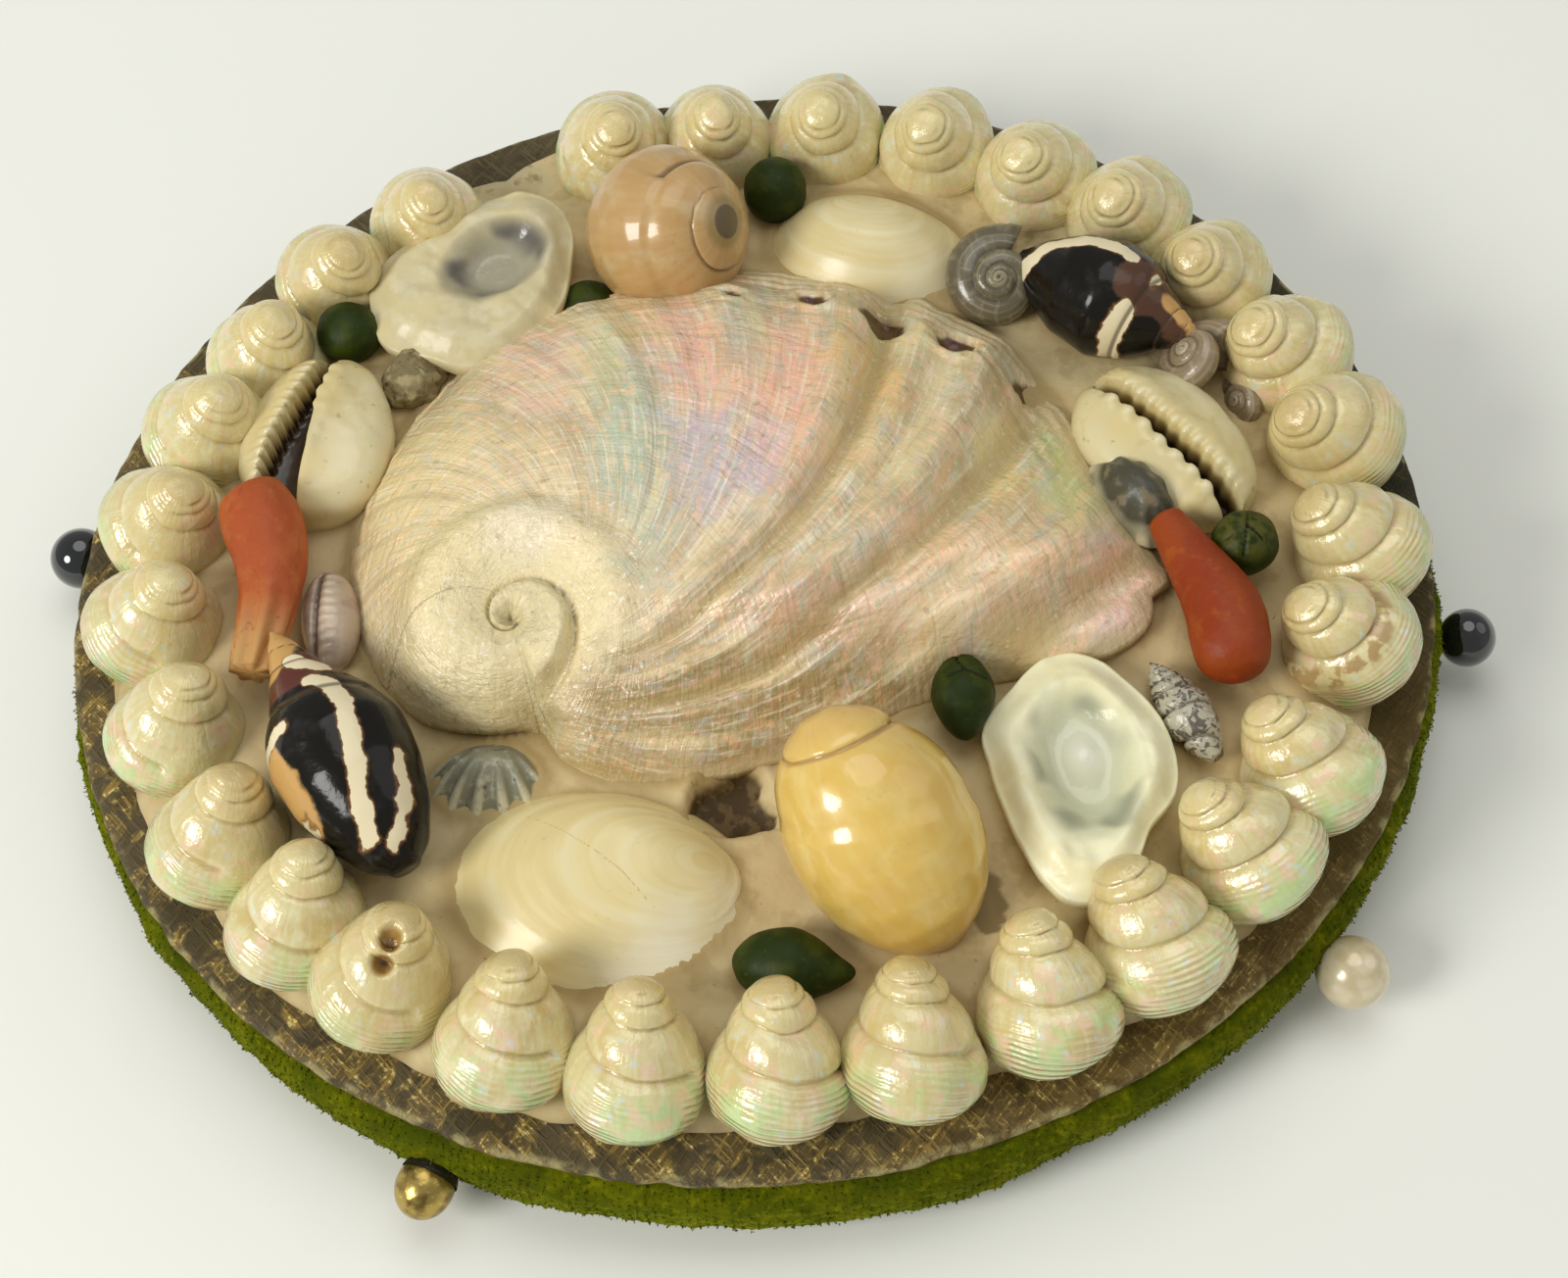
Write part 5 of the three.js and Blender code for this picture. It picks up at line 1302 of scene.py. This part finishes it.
def board():
    turn = round_row(480)
    inward = np.concatenate([np.linspace(-1.0, -16, 26), np.linspace(-20, -50, 6)])
    profile = [(step, -BOARD_THICK * deep) for step, deep in BOARD_EDGE] + [(step, 0.0) for step in inward]
    steps, levels = np.array(profile).T[:, :, None]
    fray = 0.16 * lumps(places(np.cos(turn) * 60, np.sin(turn) * 56), 2.2, 91, 3)
    reach = steps + fray * np.exp(-np.abs(steps) / 1.2)
    x, y = (HALF_LENGTH + reach) * np.cos(turn), (HALF_WIDTH + reach) * np.sin(turn)
    points = places(x, y, levels + 0 * x)
    uneven = 0.06 * lumps(points, 5.0, 92, 2) - 0.02
    points[..., 2] += np.where(levels == 0.0, uneven, 0.0)
    piece = skin("brocade_board", points, {"rim": steps, "bearing": turn})
    paint = Paint("brocade", (0.155, 0.115, 0.08), 0.62, (0.46, 0.46, 0.30), Specular_IOR_Level=0.25)
    threads = [paint.noise(0.34, 2, paint.stretched((1, 0.10, 1), turn)) for turn in (40, -38)]
    weave = paint.math("MAXIMUM", *(paint.step(thread, 0.50, 0.64) for thread in threads))
    lower = paint.step(paint.math("SINE", paint.plus("bearing", 0.7)), 0.35, -0.6)
    right = paint.step(paint.math("COSINE", "bearing"), 0.72, 0.96)
    paint.spots(9.0, 3, 0.4, 0.62, (0.21, 0.16, 0.125), 0.8)
    paint.spots(2.4, 4, 0.5, 0.68, (0.085, 0.062, 0.05), 0.7)
    paint.layer(weave, (0.30, 0.23, 0.15), 0.45)
    # Painted shade: the board's right side is laid darker.
    paint.layer(right, (0.03, 0.035, 0.012), 0.8)
    scratches = paint.noise(2.2, 3, paint.stretched((1, 7, 1), 35))
    paint.where(scratches, 0.6, 0.68, (0.30, 0.25, 0.18), 0.4)
    gilt = paint.step(paint.math("COSINE", paint.plus("bearing", 0.8)), 0.70, 0.98)
    paint.layer(gilt, (0.27, 0.165, 0.05), 0.8)
    flaked = paint.plus(paint.noise(2.4, 7, twist=0.8), paint.times(gilt, 0.05))
    flakes = paint.step(flaked, 0.45, 0.56)
    gold = paint.times(flakes, paint.plus(paint.times(weave, 0.75), 0.25))
    gold = paint.times(gold, paint.plus(paint.times(lower, 0.95), 0.05))
    paint.layer(gold, (0.66, 0.44, 0.17), 0.9)
    glint = paint.times(gold, paint.step(paint.noise(0.35, 3), 0.56, 0.66))
    paint.layer(glint, (1.7, 1.35, 0.80), 0.9)
    worn = paint.times(paint.step("rim", -0.7, -0.1), paint.step(paint.noise(2.2, 4), 0.46, 0.64))
    paint.layer(worn, (0.90, 0.76, 0.50), 0.8)
    paint.smooth(gold, 0.28)
    paint.bump(weave, 0.12, 0.8)
    paint.grain(0.8, 4, 0.12, 0.6)
    return dress(piece, "top_board", paint.done())


board()


# Velvet pad
PAD_HEIGHT = 9.5
PAD_ENDS = 1.1
PAD_SIDES = 1.5
# The pad's side as (step out, share of its height)
PAD_PROFILE = [(-14, 1.0), (-8, 1.0), (-4.6, 1.0), (-3.2, 0.995), (-2.0, 0.975), (-1.2, 0.94), (-0.7, 0.9),
               (-0.35, 0.85), (-0.12, 0.79), (0, 0.72), (0.05, 0.64), (0.02, 0.56), (-0.05, 0.48),
               (-0.16, 0.40), (-0.35, 0.32), (-0.6, 0.245), (-0.95, 0.18), (-1.4, 0.12), (-2.0, 0.07),
               (-2.8, 0.03), (-4.0, 0.0), (-8, 0.0), (-20, 0.0)]
PAD_ROWS, PAD_COLUMNS = 56, 560
TUFTS = 18000
TUFT_RADIUS = 0.10
TUFT_LENGTH = (0.10, 0.26)


def velvet():
    turn = round_row(PAD_COLUMNS)
    bottom = -BOARD_THICK - PAD_HEIGHT
    fine = np.linspace(0, len(PAD_PROFILE) - 1, PAD_ROWS)
    steps, levels = (np.interp(fine, np.arange(len(PAD_PROFILE)), values) for values in zip(*PAD_PROFILE))
    reach_x, reach_y = HALF_LENGTH + PAD_ENDS, HALF_WIDTH + PAD_SIDES
    x = (reach_x + steps[:, None]) * np.cos(turn)
    y = (reach_y + steps[:, None]) * np.sin(turn)
    z = bottom + levels[:, None] * (PAD_HEIGHT - 0.05) + 0 * turn
    points = places(x, y, z)
    side = (ease(levels, 0.0, 0.05) * (1 - ease(levels, 0.97, 1.0)))[:, None]
    slack = 0.35 * lumps(points, 11.0, 101, 2) + 0.16 * lumps(points, 2.4, 102, 3)
    pile = 0.22 * lumps(points, 0.55, 103, 2)
    out = places(np.cos(turn) + 0 * x, np.sin(turn) + 0 * x)
    points = points + out * (side * (slack + pile - 0.25))[..., None]
    body = skin("velvet_pad", points)
    # Tufts of pile stand out from the side, thickest where the board presses them out.
    chance = np.random.default_rng(7)
    row = chance.integers(4, 40, TUFTS)
    column = chance.integers(0, PAD_COLUMNS, TUFTS)
    root = points[row, column] + chance.normal(0, 0.08, (TUFTS, 3))
    way = out[row, column] + np.stack([chance.normal(upward, 0.35, TUFTS) for upward in (0, 0, 0.12)], -1)
    way /= np.linalg.norm(way, axis=1)[:, None]
    tip = root + way * chance.uniform(*TUFT_LENGTH, TUFTS)[:, None]
    tip[:, 2] = np.clip(tip[:, 2], bottom, -BOARD_THICK - 0.02)
    across = np.cross(way, chance.normal(0, 1, (TUFTS, 3)))
    across *= TUFT_RADIUS / np.linalg.norm(across, axis=1)[:, None]
    over = np.cross(way, across) * 0.87
    tufts = np.stack([root + across, root - across * 0.5 + over, root - across * 0.5 - over, tip], 1)
    base = np.arange(TUFTS)[:, None] * 4
    faces = np.concatenate([base + [0, 1, 3], base + [1, 2, 3], base + [2, 0, 3], base + [0, 2, 1]]).tolist()
    pile_piece = make_mesh("velvet_pile", tufts.reshape(-1, 3), faces)
    paint = Paint("velvet", (0.15, 0.20, 0.004), 0.9, (0.5, 0.46, 0.3), Sheen_Weight=0.35,
                  Sheen_Roughness=0.35, Sheen_Tint=(0.55, 0.62, 0.03, 1), Specular_IOR_Level=0.05)
    paint.spots(3.0, 4, 0.42, 0.6, (0.26, 0.31, 0.006), 0.8)
    paint.spots(0.7, 4, 0.5, 0.7, (0.44, 0.46, 0.012), 0.6)
    paint.spots(6.0, 3, 0.5, 0.66, (0.05, 0.09, 0.008), 0.6)
    paint.grain(0.35, 4, 0.2, 0.8)
    material = paint.done()
    dress(body, "velvet_cushion", material)
    dress(pile_piece, None, material)


velvet()


# Pins
def pin(node, paint, hood=False):
    """A pin with its head and shaft measured on the CAD solid, which lies along its bearing."""
    low, high = node_box(node)
    place = middle(node)
    corners = corners_of(node)
    bearing = math.atan2(place[1] / HALF_WIDTH ** 2, place[0] / HALF_LENGTH ** 2)
    out = np.array([math.cos(bearing), math.sin(bearing), 0])
    turned = about_z(math.degrees(bearing)).T
    reach = corners @ out
    tall = high[2] - low[2]
    head = corners[reach > reach.max() - tall * 0.99]
    centre = (head.min(axis=0) + head.max(axis=0)) / 2
    deep = reach.max() - centre @ out
    rows = egg(tall, tall, tall, rows=46, columns=56)[0] @ turned
    rows = rows + out * ((rows @ out) * (deep / (tall / 2) - 1))[..., None] + centre
    dress(skin(f"{node}_head", rows), node, paint)
    start = centre - out * (deep * 0.9)
    end = centre + out * (reach.min() - centre @ out)
    shaft = tube_along([end, start * 0.6 + end * 0.4, start], [0.1, 0.4, 0.42], 12, 12)[0]
    dress(skin(f"{node}_shaft", shaft), None, STEEL)
    if hood:
        cap, along, _ = egg(tall * 1.05, tall * 0.98, tall * 0.98, rows=40, columns=48)
        cap = cap[along[:, 0] < -0.15] @ turned * 1.05 + centre - out * 0.35
        dress(skin(f"{node}_hood", cap, ends=(False, True)), None, HOOD)


def hard_paint(name, colour, rough, spots, grain=None, **shader):
    """Metal, glass or pearl with spots of other colours and a grain."""
    paint = Paint(name, colour, rough, **shader)
    for spot in spots:
        paint.spots(*spot)
    if grain:
        paint.grain(*grain)
    return paint.done()


STEEL = hard_paint("steel", (0.5, 0.48, 0.44), 0.35, [
    (1.0, 3, 0.5, 0.7, (0.25, 0.18, 0.12), 0.6),
], Metallic=1.0)
BLACK = hard_paint("black glass", (0.006, 0.007, 0.009), 0.06, [
    (1.5, 3, 0.55, 0.75, (0.02, 0.022, 0.025), 0.7),
], coat=(1.0, 0.03))
BEAD = hard_paint("pearl bead", (0.66, 0.55, 0.33), 0.22, [
    (2.0, 3, 0.45, 0.65, (0.80, 0.71, 0.50), 0.7), (0.7, 3, 0.66, 0.76, (0.55, 0.42, 0.25), 0.4),
], (0.9, 2, 0.05, 0.5), coat=(0.8, 0.08), Metallic=0.15)
BRASS = hard_paint("brass", (0.50, 0.36, 0.10), 0.28, [
    (1.4, 4, 0.48, 0.66, (0.20, 0.13, 0.04), 0.85), (0.6, 3, 0.6, 0.72, (0.75, 0.62, 0.28), 0.6),
], (0.7, 3, 0.1, 0.7), Metallic=0.9)
HOOD = hard_paint("dark patina", (0.035, 0.03, 0.02), 0.4, [(0.8, 4, 0.55, 0.7, (0.20, 0.14, 0.06), 0.8)],
                  (0.5, 4, 0.2, 1.0), Metallic=0.6)
pin("pin_black_left", BLACK)
pin("pin_black_right", BLACK)
pin("pin_pearl", BEAD)
pin("pin_brass", BRASS, True)


# Floor, light and camera
FLOOR_SIZE = 2.0
FLOOR_DROP = 0.0002


def floor():
    bpy.ops.mesh.primitive_plane_add(size=FLOOR_SIZE, location=(0, 0, -FLOOR_DROP))
    ground = bpy.context.object
    ground.name = "floor"
    paint = Paint("floor", (0.885, 0.89, 0.83), 0.75, Specular_IOR_Level=0.2)
    ground.data.materials.append(paint.done())


def lamp(name, azimuth, elevation, distance, size, power, colour=(1, 1, 1)):
    """An area light that faces the object; azimuth 0 is in front, 90 to the right."""
    light = bpy.data.lights.new(name, "AREA")
    light.shape = "DISK"
    light.size = size
    light.energy = power
    light.color = colour
    bearing, height = math.radians(azimuth), math.radians(elevation)
    place = Vector((math.sin(bearing) * math.cos(height), -math.cos(bearing) * math.cos(height),
                    math.sin(height))) * distance
    obj = bpy.data.objects.new(name, light)
    obj.location = place
    obj.rotation_euler = (-place).to_track_quat("-Z", "Y").to_euler()
    bpy.context.scene.collection.objects.link(obj)


CAMERA_HEIGHT = 58
CAMERA_DISTANCE = 0.2305
CAMERA_ROLL = 0.096
PHOTO_WIDTH, PHOTO_HEIGHT = 1600, 1304
PHOTO_FOCUS = 2651
PHOTO_AIM = (763.4, 582.9)
SENSOR = 36


def camera():
    data = bpy.data.cameras.new("camera")
    obj = bpy.data.objects.new("camera", data)
    bpy.context.scene.collection.objects.link(obj)
    height = math.radians(CAMERA_HEIGHT)
    back = Vector((0, -math.cos(height), math.sin(height)))
    right = Vector((1, 0, 0))
    up = Vector((0, math.sin(height), math.cos(height)))
    rolled_right = right * math.cos(CAMERA_ROLL) - up * math.sin(CAMERA_ROLL)
    rolled_up = right * math.sin(CAMERA_ROLL) + up * math.cos(CAMERA_ROLL)
    turn = Matrix((rolled_right, rolled_up, back)).transposed().to_4x4()
    obj.matrix_world = Matrix.Translation(Vector(ORIGIN) + back * CAMERA_DISTANCE) @ turn
    data.sensor_width = SENSOR
    data.lens = PHOTO_FOCUS / PHOTO_WIDTH * SENSOR
    data.shift_x = (PHOTO_WIDTH / 2 - PHOTO_AIM[0]) / PHOTO_WIDTH
    data.shift_y = -(PHOTO_HEIGHT / 2 - PHOTO_AIM[1]) / PHOTO_WIDTH
    data.clip_start = 0.005
    bpy.context.scene.camera = obj


floor()
lamp("window", -62, 38, 0.75, 0.30, 3.2, (1.0, 0.99, 0.96))
lamp("ceiling", 170, 74, 0.9, 0.7, 2.0, (1.0, 1.0, 0.98))
lamp("right fill", 100, 40, 0.9, 0.6, 0.6)
world = bpy.data.worlds.new("world")
world.use_nodes = True
world.node_tree.nodes["Background"].inputs["Color"].default_value = (1.0, 1.0, 0.97, 1)
world.node_tree.nodes["Background"].inputs["Strength"].default_value = 0.36
bpy.context.scene.world = world
bpy.context.scene.view_settings.view_transform = "Standard"
camera()
